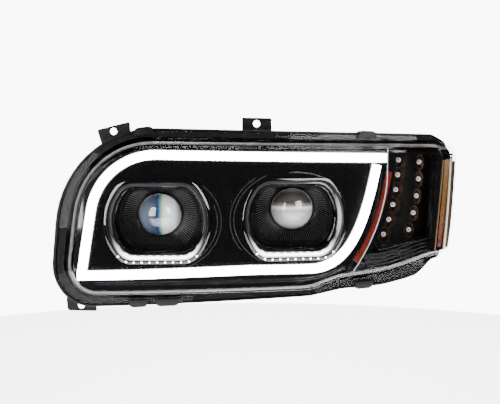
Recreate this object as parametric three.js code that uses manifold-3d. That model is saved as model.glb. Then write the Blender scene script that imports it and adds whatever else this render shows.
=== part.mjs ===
// Truck headlight assembly, left-hand side: a swept-back clear lens over two tilting projector
// modules, a C-shaped light bar, a turn-signal chamber and a side reflector, in a black housing.
// Millimetres. +X runs outboard along the face, +Y backwards into the vehicle, +Z up.
//
// The front pieces are drawn flat, in face coordinates, and then bent round the corner of the
// vehicle: s runs along the face, z up, and d is the depth behind the face.
import * as THREE from 'three';
import { mergeVertices } from 'three/addons/utils/BufferGeometryUtils.js';
import Module from 'manifold-3d';

const wasm = await Module();
wasm.setup();

// ---------------------------------------------------------------- driving dimensions
// The part's origin: on the rear face of the upper centre bracket, beside its bolt hole.
const ORIGIN = new THREE.Vector3(19.5, 79, 138.5);

// Plan curve of the face: [s, heading in degrees from +X towards +Y, flats up to the next entry].
const HEADINGS = [
  [-360, -10, 3], [-150, 3, 4], [180, 13, 1], [274, 19.5, 5], [384, 71, 2], [486, 81, 1],
];
const STATION_ZERO = -150; // here s equals X, and the face is at Y = FACE_Y
const FACE_Y = 1;

// Outlines of the lens face and of the housing's rim, corner by corner:
// [s, z, fillet radius, flats in the fillet].
const FACE_CORNERS = [
  [-263, 108, 120, 6], [340, 101, 90, 1], [426, 97, 40, 4], [358, -77, 17, 3], [330, -78.5, 60, 1],
  [296, -79, 60, 1], [228, -97, 120, 1], [146, -107, 45, 2], [98, -125, 80, 2], [-299, -128, 45, 4],
];
const RIM_CORNERS = [
  [-308, 137, 170, 6], [334, 120.5, 40, 1], [426, 94, 30, 4], [368, -88, 18, 3], [338, -90, 30, 1],
  [302, -113, 60, 1], [232, -129, 120, 1], [158, -132.5, 45, 2], [104, -142.5, 80, 2],
  [-337, -156.5, 66, 4],
];

// Places across the rim: 0 is the face's outline and 1 is the rim's outer edge.
const SKIRT_FOOT = 0.45;
const BOWL_INNER = 0.5;
const BOWL_OUTER = 0.63;
const FLANGE_EDGE = 0.84;
const LIP_INNER = 0.87;
const LIP_OUTER = 1;
const FLANGE_FRONT = 42;
const FLANGE_BACK = 46;
const RIM_FACE = 49;
const RIM_BACK = 52;
const BACK_Y = 235; // outside of the housing's flat back wall
const WALL = 3;

// Round the corner of the vehicle the flange and the rim draw nearer to the face, by up to this
// much, from s = start to s = end. The skirt takes it up between the depths front and back.
const SHALLOW = { start: 230, end: 384, most: 25, front: 8, back: 38 };

const BEZEL_INSET = 5;
const BEZEL_FRONT = 17;
const BEZEL_PLATE = 3;
const BEZEL_DEPTH = 23;

// Projectors: s, X and Z of the axis, Z of the shroud's centre, and Y of the lens's apex.
const LENS_RADIUS = 33;
const PIVOT_BACK = 62; // pivot axis behind the lens's apex
const AIM_ARM = 62; // aiming screw below the projector's axis
const TRUNNION_RADIUS = 3.6;
const PROJECTORS = [
  { name: 'low', s: -150, x: -150.7, z: -8, shroudZ: -13.7, apexY: 55, shield: true },
  { name: 'high', s: 72, x: 64.5, z: -1.5, shroudZ: -12, apexY: 81, shield: false },
];
const SHROUD_R = 86;
const SHROUD_H = 67; // half-height where the round shroud is cut flat
const SHROUD_FILLET = 30; // round between the flat and the circle
const SHROUD_STRAIGHT = 60; // depth from which the shroud is square to the projector's axis
const FACE_TO_APEX = 54;

// Light bar: centreline of the straight and round stretch, then a curved blade.
const BAR_WIDTH = 15.6;
const BAR_FRONT = 11.5;
const BAR_BACK = 16.6;
const BAR_START = [224, 84.2];
const BAR_TOP_LEFT = [-240, 94.5, 105];
const BAR_BOTTOM_LEFT = [-272, -98.5];
const BAR_BOTTOM_MID = [0, -91.5];
const BAR_BLADE = [[95, -92], [166, -92.5], [188.5, -14], [207.5, 73.5]];

// Turn signal: two columns of light-emitting diodes on curved lines.
const LED_COLUMNS = [
  { count: 6, top: 79, pitch: 24.5, s: 257, bow: 0.00175 },
  { count: 5, top: 74.4, pitch: 28, s: 308, bow: 0.0022 },
];
const CUP_RADIUS = 11.5;
const CUP_WALL = 1.2;
const DIODE = 5;
const CUP_HOLE = 4.2;
const PANEL_FRONT = 34;
const PANEL_BACK = 37;
const CUP_BACK = 42;
const TURN_CORNERS = [
  [244, 90, 8, 2], [337, 86, 10, 2], [335, -52, 36, 3], [196, -76, 6, 2], [232, -5, 140, 3],
];
const STRIP_LINE = [[172, -82], [200, -50], [219, 4], [230, 62]];
const STRIP_WIDTH = 9;
const STRIP_FRONT = 12;
const SIDE_REFLECTOR = [[350, 74, 4], [378, 74, 4], [347, -68, 4], [326, -68, 4]];
const SIDE_REFLECTOR_FRONT = 9;

// Rear fittings: X and Z on the back wall.
const CAP_RADIUS = 45;
const COLLAR_RADIUS = 41;
const COLLAR_BORE = 37;
const COLLAR_END = 246;
const VENTS = [[-235, 45], [170, 50]];
const SOCKET_CENTRE = [-43, -52];
const SOCKET_HOLE = [32, 16];
const DRIVER_CENTRE = [-43, 16];

// Spring clips on the rim: s, top (1) or bottom (-1) edge, and width.
const CLIPS = [[-172, 1, 36], [201, 1, 36], [-184, -1, 34], [-135, -1, 44], [198, -1, 36]];

// Mounting brackets: flat plates with one bolt hole each. Each has a foot along the edge where it
// stands on the back of the rim.
const BOLT_HOLE = 5.75;
const BRACKET_THICKNESS = 4;
const BRACKETS = [
  {
    name: 'upper_centre_bracket', back: 79, hole: [6, 139],
    corners: [[-17.5, 124.6, 1], [30, 124.6, 1], [30, 148, 2], [-17.5, 149, 2]],
    foot: [[-17.5, 124.6, 1], [30, 124.6, 1], [30, 130, 1], [-17.5, 131, 1]],
  },
  {
    name: 'upper_inner_bracket', back: 58.5, hole: [-222, 127.5],
    corners: [[-241, 106, 1], [-195, 123, 1], [-196.5, 143, 2], [-248, 130, 2]],
    foot: [[-241, 106, 1], [-195, 123, 1], [-195, 128.5, 1], [-241, 111, 1]],
  },
  {
    name: 'lower_inner_bracket', back: 63.5, hole: [-279, -155.3],
    corners: [[-303, -141.3, 1], [-301, -163.3, 4], [-254, -164.3, 2], [-255, -148.8, 1], [-285, -147.3, 4]],
    foot: [[-270, -148.2, 1], [-255.2, -149, 1], [-255, -154, 1], [-270, -154, 1]],
  },
];
const GAP = 0.3;

const MATERIALS = {
  housing: { color: 0x121213, roughness: 0.6, metalness: 0 },
  clear: { color: 0xe8eef2, roughness: 0.05, metalness: 0, transparent: true, opacity: 0.35 },
  sealant: { color: 0x1b1b1b, roughness: 0.8, metalness: 0 },
  gloss: { color: 0x08080a, roughness: 0.12, metalness: 0 },
  white: { color: 0xf7f9ff, roughness: 0.4, metalness: 0 },
  amber: { color: 0xc2410c, roughness: 0.2, metalness: 0 },
  board: { color: 0xd8dadc, roughness: 0.6, metalness: 0 },
  steel: { color: 0x101010, roughness: 0.5, metalness: 0.3 },
  bright: { color: 0xc9ccd0, roughness: 0.2, metalness: 1 },
  glass: { color: 0xdfe8ef, roughness: 0.02, metalness: 0, transparent: true, opacity: 0.5 },
  alloy: { color: 0x8d9094, roughness: 0.45, metalness: 1 },
  rubber: { color: 0x18181a, roughness: 0.9, metalness: 0 },
  nylon: { color: 0xe6e4dc, roughness: 0.6, metalness: 0 },
};

// ---------------------------------------------------------------- face coordinates
function headingAt(s) {
  let i = 1;
  while (i < HEADINGS.length - 1 && s > HEADINGS[i][0]) i += 1;
  const [s0, a0] = HEADINGS[i - 1];
  const [s1, a1] = HEADINGS[i];
  return THREE.MathUtils.degToRad(a0 + ((a1 - a0) * (s - s0)) / (s1 - s0));
}

// The plan curve is a chain of flats, so that everything bent round it keeps its clearance.
const STATIONS = HEADINGS.slice(1).flatMap(([end], i) => {
  const [start, , flats] = HEADINGS[i];
  return Array.from({ length: flats }, (_, k) => start + ((end - start) * k) / flats);
}).concat(HEADINGS[HEADINGS.length - 1][0]);

const STATION_POINTS = STATIONS.map((s) => {
  const step = (s - STATION_ZERO) / 60;
  const point = new THREE.Vector2(STATION_ZERO, FACE_Y);
  for (let i = 0; i < 60; i += 1) {
    const a = headingAt(STATION_ZERO + (i + 0.5) * step);
    point.add(new THREE.Vector2(Math.cos(a), Math.sin(a)).multiplyScalar(step));
  }
  return point;
});

// A rim depth where the rim draws nearer to the face.
function rimDepth(s, d) {
  const along = THREE.MathUtils.clamp((s - SHALLOW.start) / (SHALLOW.end - SHALLOW.start), 0, 1);
  const behind = THREE.MathUtils.clamp((d - SHALLOW.front) / (SHALLOW.back - SHALLOW.front), 0, 1);
  return d - SHALLOW.most * along * behind;
}

// Face coordinates to the part's own frame, before the origin is moved to the bracket.
function place(s, z, d, depthAt = (_, depth) => depth) {
  let i = 1;
  while (i < STATIONS.length - 1 && s > STATIONS[i]) i += 1;
  const [before, after] = [i - 1, i].map((k) => {
    const a = headingAt(STATIONS[k]);
    const depth = depthAt(STATIONS[k], d);
    const { x, y } = STATION_POINTS[k];
    return new THREE.Vector3(x - depth * Math.sin(a), y + depth * Math.cos(a), z);
  });
  return before.lerp(after, (s - STATIONS[i - 1]) / (STATIONS[i] - STATIONS[i - 1]));
}

// ---------------------------------------------------------------- outlines
// A closed outline with a round at each corner, as [x, z] points.
function roundedOutline(corners) {
  const n = corners.length;
  return corners.flatMap(([x, z, r, flats = 2], i) => {
    const before = new THREE.Vector2(...corners[(i + n - 1) % n].slice(0, 2));
    const after = new THREE.Vector2(...corners[(i + 1) % n].slice(0, 2));
    const corner = new THREE.Vector2(x, z);
    const u = before.sub(corner).normalize();
    const v = after.sub(corner).normalize();
    const half = Math.acos(THREE.MathUtils.clamp(u.dot(v), -1, 1)) / 2;
    const reach = r / Math.tan(half);
    const turn = Math.PI - 2 * half;
    const centre = u.clone().add(v).normalize().multiplyScalar(r / Math.sin(half)).add(corner);
    const first = u.clone().multiplyScalar(reach).add(corner).sub(centre);
    const side = Math.sign(u.cross(v));
    const points = [];
    for (let k = 0; k <= flats; k += 1) {
      const p = first.clone().rotateAround(new THREE.Vector2(), -side * turn * (k / flats));
      points.push([p.x + centre.x, p.y + centre.y]);
    }
    return points;
  });
}

function signedArea(points) {
  return points.reduce((sum, [x, z], i) => {
    const [x1, z1] = points[(i + 1) % points.length];
    return sum + (x * z1 - x1 * z) / 2;
  }, 0);
}

// The outline moved outwards by a distance, or inwards if it is negative.
function offsetOutline(points, distance) {
  const n = points.length;
  const side = Math.sign(signedArea(points));
  return points.map(([x, z], i) => {
    const [xa, za] = points[(i + n - 1) % n];
    const [xb, zb] = points[(i + 1) % n];
    const u = new THREE.Vector2(x - xa, z - za).normalize();
    const v = new THREE.Vector2(xb - x, zb - z).normalize();
    const normal = new THREE.Vector2(u.y + v.y, -u.x - v.x).normalize();
    const mitre = distance / Math.max(0.5, normal.dot(new THREE.Vector2(u.y, -u.x)));
    return [x + side * normal.x * mitre, z + side * normal.y * mitre];
  });
}

// A band of constant width along an open line, with square ends, as one closed outline.
function ribbonOutline(line, width) {
  const sides = [1, -1].map((side) => line.map(([x, z], i) => {
    const [xa, za] = line[Math.max(0, i - 1)];
    const [xb, zb] = line[Math.min(line.length - 1, i + 1)];
    const before = new THREE.Vector2(x - xa, z - za).normalize();
    const after = new THREE.Vector2(xb - x, zb - z).normalize();
    const u = before.lengthSq() ? before : after;
    const v = after.lengthSq() ? after : before;
    const normal = new THREE.Vector2(-(u.y + v.y), u.x + v.x).normalize();
    const mitre = (side * width) / 2 / Math.max(0.4, normal.dot(new THREE.Vector2(-u.y, u.x)));
    return [x + normal.x * mitre, z + normal.y * mitre];
  }));
  return [...sides[0], ...sides[1].reverse()];
}

function bezierLine(points, pieces) {
  const [a, b, c, e] = points.map(([x, z]) => new THREE.Vector2(x, z));
  return new THREE.CubicBezierCurve(a, b, c, e).getPoints(pieces).map((p) => [p.x, p.y]);
}

// A circle cut flat at the top and bottom, with rounds between, as an outline about its centre.
function trimmedCircle(radius, half, fillet = SHROUD_FILLET) {
  const round = Math.min(fillet, half * 0.9);
  const centre = new THREE.Vector2(Math.sqrt((radius - round) ** 2 - (half - round) ** 2), half - round);
  const tangent = centre.angle();
  const quarter = [];
  for (let i = 0; i <= 3; i += 1) {
    const a = (tangent * (i + 0.5)) / 3.5;
    quarter.push([radius * Math.cos(a), radius * Math.sin(a)]);
  }
  for (let i = 1; i <= 2; i += 1) {
    const a = tangent + ((Math.PI / 2 - tangent) * i) / 2;
    quarter.push([centre.x + round * Math.cos(a), centre.y + round * Math.sin(a)]);
  }
  const left = quarter.map(([x, z]) => [-x, z]).reverse();
  const lower = [...quarter, ...left].map(([x, z]) => [x, -z]).reverse();
  return [...quarter, ...left, ...lower];
}

// ---------------------------------------------------------------- solids
function toSolid(geometry) {
  const bare = new THREE.BufferGeometry();
  const flat = geometry.index ? geometry.toNonIndexed() : geometry;
  bare.setAttribute('position', flat.getAttribute('position').clone());
  const merged = mergeVertices(bare, 1e-4);
  const index = merged.index.array;
  const position = merged.getAttribute('position');
  const triangles = [];
  let volume = 0;
  for (let i = 0; i < index.length; i += 3) {
    const [a, b, c] = [index[i], index[i + 1], index[i + 2]];
    if (a === b || b === c || a === c) continue;
    triangles.push(a, b, c);
    const [p, q, r] = [a, b, c].map((k) => new THREE.Vector3().fromBufferAttribute(position, k));
    volume += p.dot(q.cross(r)) / 6;
  }
  if (volume < 0) triangles.reverse();
  return new wasm.Manifold(new wasm.Mesh({
    numProp: 3,
    vertProperties: position.array,
    triVerts: new Uint32Array(triangles),
  }));
}

function toGeometry(solid) {
  const mesh = solid.getMesh();
  const geometry = new THREE.BufferGeometry();
  geometry.setAttribute('position', new THREE.BufferAttribute(mesh.vertProperties, 3));
  geometry.setIndex(new THREE.BufferAttribute(mesh.triVerts, 1));
  return geometry;
}

function join(...geometries) {
  const solids = geometries.map(toSolid);
  return toGeometry(solids.reduce((whole, solid) => whole.add(solid)));
}

function cut(geometry, ...tools) {
  return toGeometry(tools.reduce((whole, tool) => whole.subtract(toSolid(tool)), toSolid(geometry)));
}

function common(one, other) {
  return toGeometry(toSolid(one).intersect(toSolid(other)));
}

// Triangles that fill a flat outline. The outline is bowed very slightly for this, so that points
// along a straight edge are kept.
function fillOutline(flat) {
  const bowed = flat.map((p) => p.clone().multiplyScalar(1 - 1e-9 * p.lengthSq()));
  const backwards = THREE.ShapeUtils.isClockWise(bowed);
  const order = bowed.map((_, i) => (backwards ? bowed.length - 1 - i : i));
  const triangles = THREE.ShapeUtils.triangulateShape(order.map((i) => bowed[i]), []);
  return triangles.map((triangle) => {
    const corners = triangle.map((i) => order[i]);
    return backwards ? corners.reverse() : corners;
  });
}

// A skin through rings of points. An open loft is closed by flat caps, and a closed one by its own
// last band.
function loft(rings, closed = false) {
  const n = rings[0].length;
  const faces = [];
  const bands = closed ? rings.length : rings.length - 1;
  for (let k = 0; k < bands; k += 1) {
    const a = k * n;
    const b = ((k + 1) % rings.length) * n;
    for (let i = 0; i < n; i += 1) {
      const j = (i + 1) % n;
      faces.push(a + i, a + j, b + j, a + i, b + j, b + i);
    }
  }
  if (!closed) {
    const last = n * (rings.length - 1);
    const flatten = (points) => points.map((p) => new THREE.Vector2(p.x, p.z));
    for (const triangle of fillOutline(flatten(rings[0]))) faces.push(...triangle.reverse());
    for (const triangle of fillOutline(flatten(rings[rings.length - 1]))) {
      faces.push(...triangle.map((i) => i + last));
    }
  }
  const values = rings.flat().flatMap((p) => p.toArray());
  const geometry = new THREE.BufferGeometry();
  geometry.setAttribute('position', new THREE.Float32BufferAttribute(values, 3));
  geometry.setIndex(faces);
  return toGeometry(toSolid(geometry));
}

// A flat plate from an outline of [x, z] points, between two depths.
function plate(outline, front, back) {
  return loft([front, back].map((y) => outline.map(([x, z]) => new THREE.Vector3(x, y, z))));
}

function box(x0, x1, y0, y1, z0, z1) {
  const geometry = new THREE.BoxGeometry(x1 - x0, y1 - y0, z1 - z0);
  return geometry.translate((x0 + x1) / 2, (y0 + y1) / 2, (z0 + z1) / 2);
}

// A turned piece about an axis along Y, from [radius, y] points.
function turned(profile, x = 0, z = 0, segments = 16) {
  const points = profile.map(([r, y]) => new THREE.Vector2(r, y));
  return new THREE.LatheGeometry(points, segments).translate(x, 0, z);
}

// A turned ring: the profile closes on itself.
function ring(inner, outer, front, back, x = 0, z = 0, segments = 16) {
  const profile = [[inner, front], [outer, front], [outer, back], [inner, back], [inner, front]];
  return turned(profile, x, z, segments);
}

function disc(radius, front, back, x = 0, z = 0, segments = 16) {
  return turned([[0, front], [radius, front], [radius, back], [0, back]], x, z, segments);
}

// A round bar along X.
function crossBar(radius, x0, x1, y, z, segments = 16) {
  const bar = new THREE.CylinderGeometry(radius, radius, x1 - x0, segments);
  return bar.rotateZ(Math.PI / 2).translate((x0 + x1) / 2, y, z);
}

// The part of a convex polygon on one side of a station.
function clip(polygon, station, side) {
  const out = [];
  polygon.forEach((p, i) => {
    const q = polygon[(i + 1) % polygon.length];
    const [u, v] = [side * (p.x - station), side * (q.x - station)];
    if (u >= 0) out.push(p);
    if (u * v < 0) {
      const [a, b] = p.x < q.x ? [p, q] : [q, p];
      const crossing = a.clone().lerp(b, (station - a.x) / (b.x - a.x));
      crossing.x = station;
      out.push(crossing);
    }
  });
  return out;
}

// Bends a flat piece round the plan curve, cutting its faces at the stations first.
function bend(geometry, depthAt) {
  const position = geometry.toNonIndexed().getAttribute('position');
  const values = [];
  for (let i = 0; i < position.count; i += 3) {
    const triangle = [0, 1, 2].map((k) => new THREE.Vector3().fromBufferAttribute(position, i + k));
    const low = Math.min(...triangle.map((p) => p.x));
    const high = Math.max(...triangle.map((p) => p.x));
    const cuts = STATIONS.filter((s) => s > low && s < high);
    [-Infinity, ...cuts].forEach((start, k) => {
      let polygon = triangle;
      if (k > 0) polygon = clip(polygon, start, 1);
      if (k < cuts.length) polygon = clip(polygon, cuts[k], -1);
      for (let j = 1; j < polygon.length - 1; j += 1) {
        for (const p of [polygon[0], polygon[j], polygon[j + 1]]) {
          values.push(...place(p.x, p.z, p.y, depthAt).toArray());
        }
      }
    });
  }
  const bent = new THREE.BufferGeometry();
  bent.setAttribute('position', new THREE.Float32BufferAttribute(values, 3));
  return bent;
}

// ---------------------------------------------------------------- the assembly
const assembly = new THREE.Group();

function add(name, material, geometry) {
  const moved = geometry.clone().translate(-ORIGIN.x, -ORIGIN.y, -ORIGIN.z);
  const mesh = new THREE.Mesh(moved, new THREE.MeshStandardMaterial(MATERIALS[material]));
  mesh.name = name;
  assembly.add(mesh);
}

const faceOutline = roundedOutline(FACE_CORNERS);
const rimOutline = roundedOutline(RIM_CORNERS);

// The outline at a place between the face (0) and the rim's outer edge (1), moved outwards.
function rimLine(across, offset = 0) {
  const line = faceOutline.map(([s, z], i) => {
    const [s1, z1] = rimOutline[i];
    return [s + (s1 - s) * across, z + (z1 - z) * across];
  });
  return offsetOutline(line, offset);
}

function flatRing(across, depth, offset = 0) {
  return rimLine(across, offset).map(([s, z]) => new THREE.Vector3(s, depth, z));
}

function outerLens() {
  const profile = [
    [0, 0, -10], [0, 2.5, -4], [0, 8, 0], [0.1, 15, 0], [SKIRT_FOOT, FLANGE_FRONT, 0],
    [FLANGE_EDGE, FLANGE_FRONT, 0], [FLANGE_EDGE, FLANGE_BACK, 0], [SKIRT_FOOT, FLANGE_BACK, -3],
    [0.1, 15.5, -3.3], [0, 6, -5], [0, 3.2, -11],
  ];
  return bend(loft(profile.map(([across, depth, offset]) => flatRing(across, depth, offset))), rimDepth);
}

function lensSeal() {
  const front = FLANGE_BACK + GAP;
  const back = RIM_FACE - GAP;
  const profile = [[BOWL_INNER, front], [FLANGE_EDGE, front], [FLANGE_EDGE, back], [BOWL_INNER, back]];
  return bend(loft(profile.map(([across, depth]) => flatRing(across, depth)), true), rimDepth);
}

// The rim's own points with one more wherever the outline crosses a station, except close to a corner.
const STATION_MARGIN = 2;
function stationRing(across, depth) {
  const line = rimLine(across);
  return line.flatMap(([s, z], i) => {
    const next = (i + 1) % line.length;
    const [s1, z1] = line[next];
    const spans = [faceOutline, rimOutline].map((outline) => [outline[i][0], outline[next][0]]);
    const crossed = STATIONS.filter((k) => spans.every(([from, to]) =>
      k > Math.min(from, to) + STATION_MARGIN && k < Math.max(from, to) - STATION_MARGIN));
    if (s1 < s) crossed.reverse();
    const between = crossed.map((k) => [k, z + ((z1 - z) * (k - s)) / (s1 - s)]);
    return [[s, z], ...between].map(([a, b]) => place(a, b, depth, rimDepth));
  });
}

function bracket({ back, hole, corners, foot }) {
  const front = back - BRACKET_THICKNESS;
  const body = join(
    plate(roundedOutline(corners), front, back),
    plate(roundedOutline(foot), front - 16, front + 1),
  );
  const reach = roundedOutline([[-360, 190, 1], [60, 190, 1], [60, -190, 1], [-360, -190, 1]]);
  const rimRoom = bend(plate(reach, 0, RIM_BACK + 0.8));
  return cut(body, rimRoom, disc(BOLT_HOLE, front - 1, back + 1, hole[0], hole[1]));
}

// The bowl behind the rim narrows towards a flat back wall.
function bowlRing(across, narrowing, reach, wall) {
  const centreZ = -10;
  return stationRing(across, RIM_BACK).map((p) => new THREE.Vector3(
    p.x * narrowing,
    p.y + reach * (BACK_Y - wall - p.y),
    centreZ + narrowing * (p.z - centreZ),
  ));
}

function housing() {
  const bowl = [[0.985, 0.3], [0.95, 0.75], [0.9, 0.96], [0.84, 1]];
  const outside = bowl.map(([narrowing, reach]) => bowlRing(BOWL_OUTER, narrowing, reach, 0));
  const inside = bowl.map(([narrowing, reach]) => bowlRing(BOWL_INNER, narrowing, reach, WALL));
  const joint = (RIM_FACE + RIM_BACK) / 2;
  const rim = [
    [BOWL_INNER, RIM_FACE], [LIP_INNER, RIM_FACE], [LIP_INNER, FLANGE_FRONT + 1.5],
    [LIP_OUTER, FLANGE_FRONT + 1.5], [LIP_OUTER, RIM_BACK], [BOWL_INNER, RIM_BACK],
  ];
  let shell = join(
    bend(loft(rim.map(([across, depth]) => flatRing(across, depth)), true), rimDepth),
    loft([...inside.reverse(), stationRing(BOWL_INNER, joint), stationRing(BOWL_OUTER, joint), ...outside]),
  );
  for (const p of PROJECTORS) {
    shell = join(shell, ring(COLLAR_BORE, COLLAR_RADIUS, BACK_Y - 1, COLLAR_END, p.x, p.z, 20));
    shell = cut(shell, disc(COLLAR_BORE, BACK_Y - 20, BACK_Y + 1, p.x, p.z, 20));
    shell = cut(shell, disc(9, BACK_Y - 20, BACK_Y + 1, p.x, p.z - AIM_ARM));
  }
  const [x, z] = SOCKET_CENTRE;
  const [width, height] = SOCKET_HOLE.map((size) => size / 2);
  shell = cut(shell, box(x - width, x + width, BACK_Y - 20, BACK_Y + 1, z - height, z + height));
  return cut(shell, ...VENTS.map(([ventX, ventZ]) => disc(5, BACK_Y - 20, BACK_Y + 1, ventX, ventZ, 12)));
}

function bezel() {
  const back = BEZEL_FRONT + BEZEL_DEPTH;
  const tray = cut(
    plate(offsetOutline(faceOutline, -BEZEL_INSET), BEZEL_FRONT, back),
    plate(offsetOutline(faceOutline, -BEZEL_INSET - 2), BEZEL_FRONT + BEZEL_PLATE, back + 1),
    plate(roundedOutline(TURN_CORNERS), BEZEL_FRONT - 1, BEZEL_FRONT + BEZEL_PLATE + 1),
    ...PROJECTORS.map((p) => plate(
      trimmedCircle(SHROUD_R + 1, SHROUD_H + 1).map(([x, z]) => [x + p.s, z + p.shroudZ]),
      BEZEL_FRONT - 1, BEZEL_FRONT + BEZEL_PLATE + 1)),
  );
  return bend(tray);
}

// A ring of the shroud: it follows the bent face in front, and is square to the projector behind.
function shroudRing(p, inset, depth) {
  const straight = THREE.MathUtils.clamp((depth - 16) / (SHROUD_STRAIGHT - 16), 0, 1);
  return trimmedCircle(SHROUD_R - inset, SHROUD_H - inset).map(([x, z]) => {
    const bentPoint = place(p.s + x, p.shroudZ + z, depth);
    const squarePoint = new THREE.Vector3(p.x + x, p.apexY - FACE_TO_APEX + depth, p.shroudZ + z);
    return bentPoint.lerp(squarePoint, straight);
  });
}

function shroud(p) {
  const profile = [
    [0, 15], [0, 36], [13, 64], [16, 64], [13.8, 34.4], [6.4, 34.4], [6.4, 25], [2, 13.5],
  ];
  return loft(profile.map(([inset, depth]) => shroudRing(p, inset, depth)), true);
}

function halo(p) {
  const profile = [[6.8, 24.6], [6.8, 34], [13.4, 34], [13.4, 24.6]];
  return loft(profile.map(([inset, depth]) => shroudRing(p, inset, depth)), true);
}

function barLine() {
  const [x, z, r] = BAR_TOP_LEFT;
  const corners = [[x, z, r, 7], [...BAR_START, 1], [...BAR_BOTTOM_LEFT, 1]];
  const arc = roundedOutline(corners).slice(0, 8).reverse();
  return [BAR_START, ...arc, BAR_BOTTOM_LEFT, BAR_BOTTOM_MID, ...bezierLine(BAR_BLADE, 8)];
}

function lightBar() {
  return bend(plate(ribbonOutline(barLine(), BAR_WIDTH), BAR_FRONT, BAR_BACK));
}

function lightBarBoard() {
  return bend(plate(ribbonOutline(barLine(), 8), BEZEL_FRONT + BEZEL_PLATE + GAP, 22.4));
}

function ledPlaces() {
  return LED_COLUMNS.flatMap(({ count, top, pitch, s, bow }) =>
    Array.from({ length: count }, (_, i) => [s - bow * (i * pitch) ** 2, top - i * pitch]));
}

function turnPanel() {
  const outline = offsetOutline(roundedOutline(TURN_CORNERS), 4);
  const places = ledPlaces();
  let panel = plate(outline, PANEL_FRONT, PANEL_BACK);
  const cup = (s, z) => disc(CUP_RADIUS + CUP_WALL, PANEL_FRONT + 1, CUP_BACK, s, z, 8);
  panel = join(panel, ...places.map(([s, z]) => cup(s, z)));
  const cone = (s, z) => turned([[0, PANEL_FRONT - 0.5], [CUP_RADIUS, PANEL_FRONT - 0.5],
    [CUP_HOLE, CUP_BACK + 0.5], [0, CUP_BACK + 0.5]], s, z, 8);
  return bend(cut(panel, ...places.map(([s, z]) => cone(s, z))));
}

function turnBoard() {
  const outline = offsetOutline(roundedOutline(TURN_CORNERS), -2);
  const front = CUP_BACK + GAP;
  const half = DIODE / 2;
  const diodes = ledPlaces().map(([s, z]) =>
    box(s - half, s + half, front - 2, front + 0.5, z - half, z + half));
  return bend(join(plate(outline, front, front + 1.6), ...diodes));
}

function amberStrip() {
  return bend(plate(ribbonOutline(bezierLine(STRIP_LINE, 7), STRIP_WIDTH), STRIP_FRONT, BAR_BACK));
}

function sideReflector() {
  return bend(plate(roundedOutline(SIDE_REFLECTOR), SIDE_REFLECTOR_FRONT, BAR_BACK));
}

// ---------------------------------------------------------------- projectors
function projectorLens(p) {
  const profile = [[0, 0], [11, 1.2], [20, 4.6], [27, 9.8], [31, 15.5], [LENS_RADIUS, 19],
    [LENS_RADIUS, 22], [0, 22]];
  return turned(profile.map(([r, y]) => [r, y + p.apexY]), p.x, p.z);
}

// The ribbed mask that surrounds the lens, on its own short spigot.
function lensMask(p) {
  const front = p.apexY + 15;
  const rim = p.shroudZ - p.z;
  const profile = [
    [72, 54, 0, rim], [72, 54, 2.5, rim], [36, 35, 8.5, 0],
    [36, 35, 12, 0], [34, 33.5, 12, 0], [34, 33.5, 6, 0],
  ];
  const rings = profile.map(([radius, half, y, drop]) => trimmedCircle(radius, half).map(([x, z]) =>
    new THREE.Vector3(p.x + x, front + y, p.z + z + drop)));
  return loft(rings, true);
}

function lensCarrier(p) {
  const y = p.apexY;
  const profile = [[31, y + 22.3], [33.4, y + 22.3], [33.4, y + 27.5], [36, y + 27.5], [38, y + 55],
    [45, y + 55], [45, y + 58], [35.5, y + 58], [33, y + 30], [31, y + 27], [31, y + 22.3]];
  return turned(profile, p.x, p.z);
}

function reflector(p) {
  const y = p.apexY;
  const profile = [[45, y + 64.8], [45, y + 67.5], [39, y + 67.5], [35, y + 88], [26, y + 106],
    [15, y + 116], [15, y + 121], [12, y + 121], [12, y + 114], [23.5, y + 104], [32.5, y + 86],
    [37, y + 64.8], [45, y + 64.8]];
  return turned(profile, p.x, p.z);
}

function cutoffShield(p) {
  const y = p.apexY + 58.3;
  const half = 42;
  const points = [[-half, -20], [half, -20], [half, -2], [6, -2], [2, 1.2], [-half, 1.2]];
  const step = roundedOutline(points.map(([x, z]) => [x + p.x, z + p.z, 0.8]), 60, 500);
  return common(plate(step, y, y + 1.2), disc(43, y - 1, y + 3, p.x, p.z));
}

// The tilting frame between carrier and reflector, with its trunnions and its ball socket.
function aimFrame(p) {
  const front = p.apexY + 59.8;
  const back = front + 4.6;
  const pivot = p.apexY + PIVOT_BACK;
  const arm = p.z - AIM_ARM;
  const plateRing = ring(38, 50, front, back, p.x, p.z, 20);
  const trunnions = [-1, 1].flatMap((side) => [
    box(p.x + side * 52 - 4, p.x + side * 52 + 4, front, back, p.z - 9, p.z + 9),
    crossBar(TRUNNION_RADIUS, p.x + side * 59 - 5, p.x + side * 59 + 5, pivot, p.z, 12),
  ]);
  const leg = box(p.x - 7, p.x + 7, front, back, arm - 2, p.z - 44);
  const socket = box(p.x - 8, p.x + 8, pivot - 7.5, pivot + 7.5, arm - 8, arm + 8);
  const ball = new THREE.SphereGeometry(5.8, 12, 8).translate(p.x, pivot, arm);
  const throat = turned([[0, pivot], [4.2, pivot + 3], [6, pivot + 9], [0, pivot + 9]], p.x, arm, 16);
  return cut(join(plateRing, ...trunnions, leg, socket), ball, throat);
}

// The fixed yoke: a ring on the housing's back wall and two arms that carry the trunnions.
function pivotYoke(p) {
  const back = BACK_Y - WALL - GAP;
  const pivot = p.apexY + PIVOT_BACK;
  const base = ring(COLLAR_BORE + 3, 63, back - 3, back, p.x, p.z, 20);
  const arms = [-1, 1].map((side) => box(p.x + side * 59.5 - 2, p.x + side * 59.5 + 2, pivot - 8, back - 1,
    p.z - 8, p.z + 8));
  const bore = TRUNNION_RADIUS + 0.4;
  const bores = [-1, 1].map((side) =>
    crossBar(bore, p.x + side * 59.5 - 4, p.x + side * 59.5 + 4, pivot, p.z, 16));
  const screwRoom = box(p.x - 12, p.x + 12, back - 4, back + 1, p.z - 70, p.z - 49);
  return cut(join(base, ...arms), ...bores, screwRoom);
}

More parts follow.
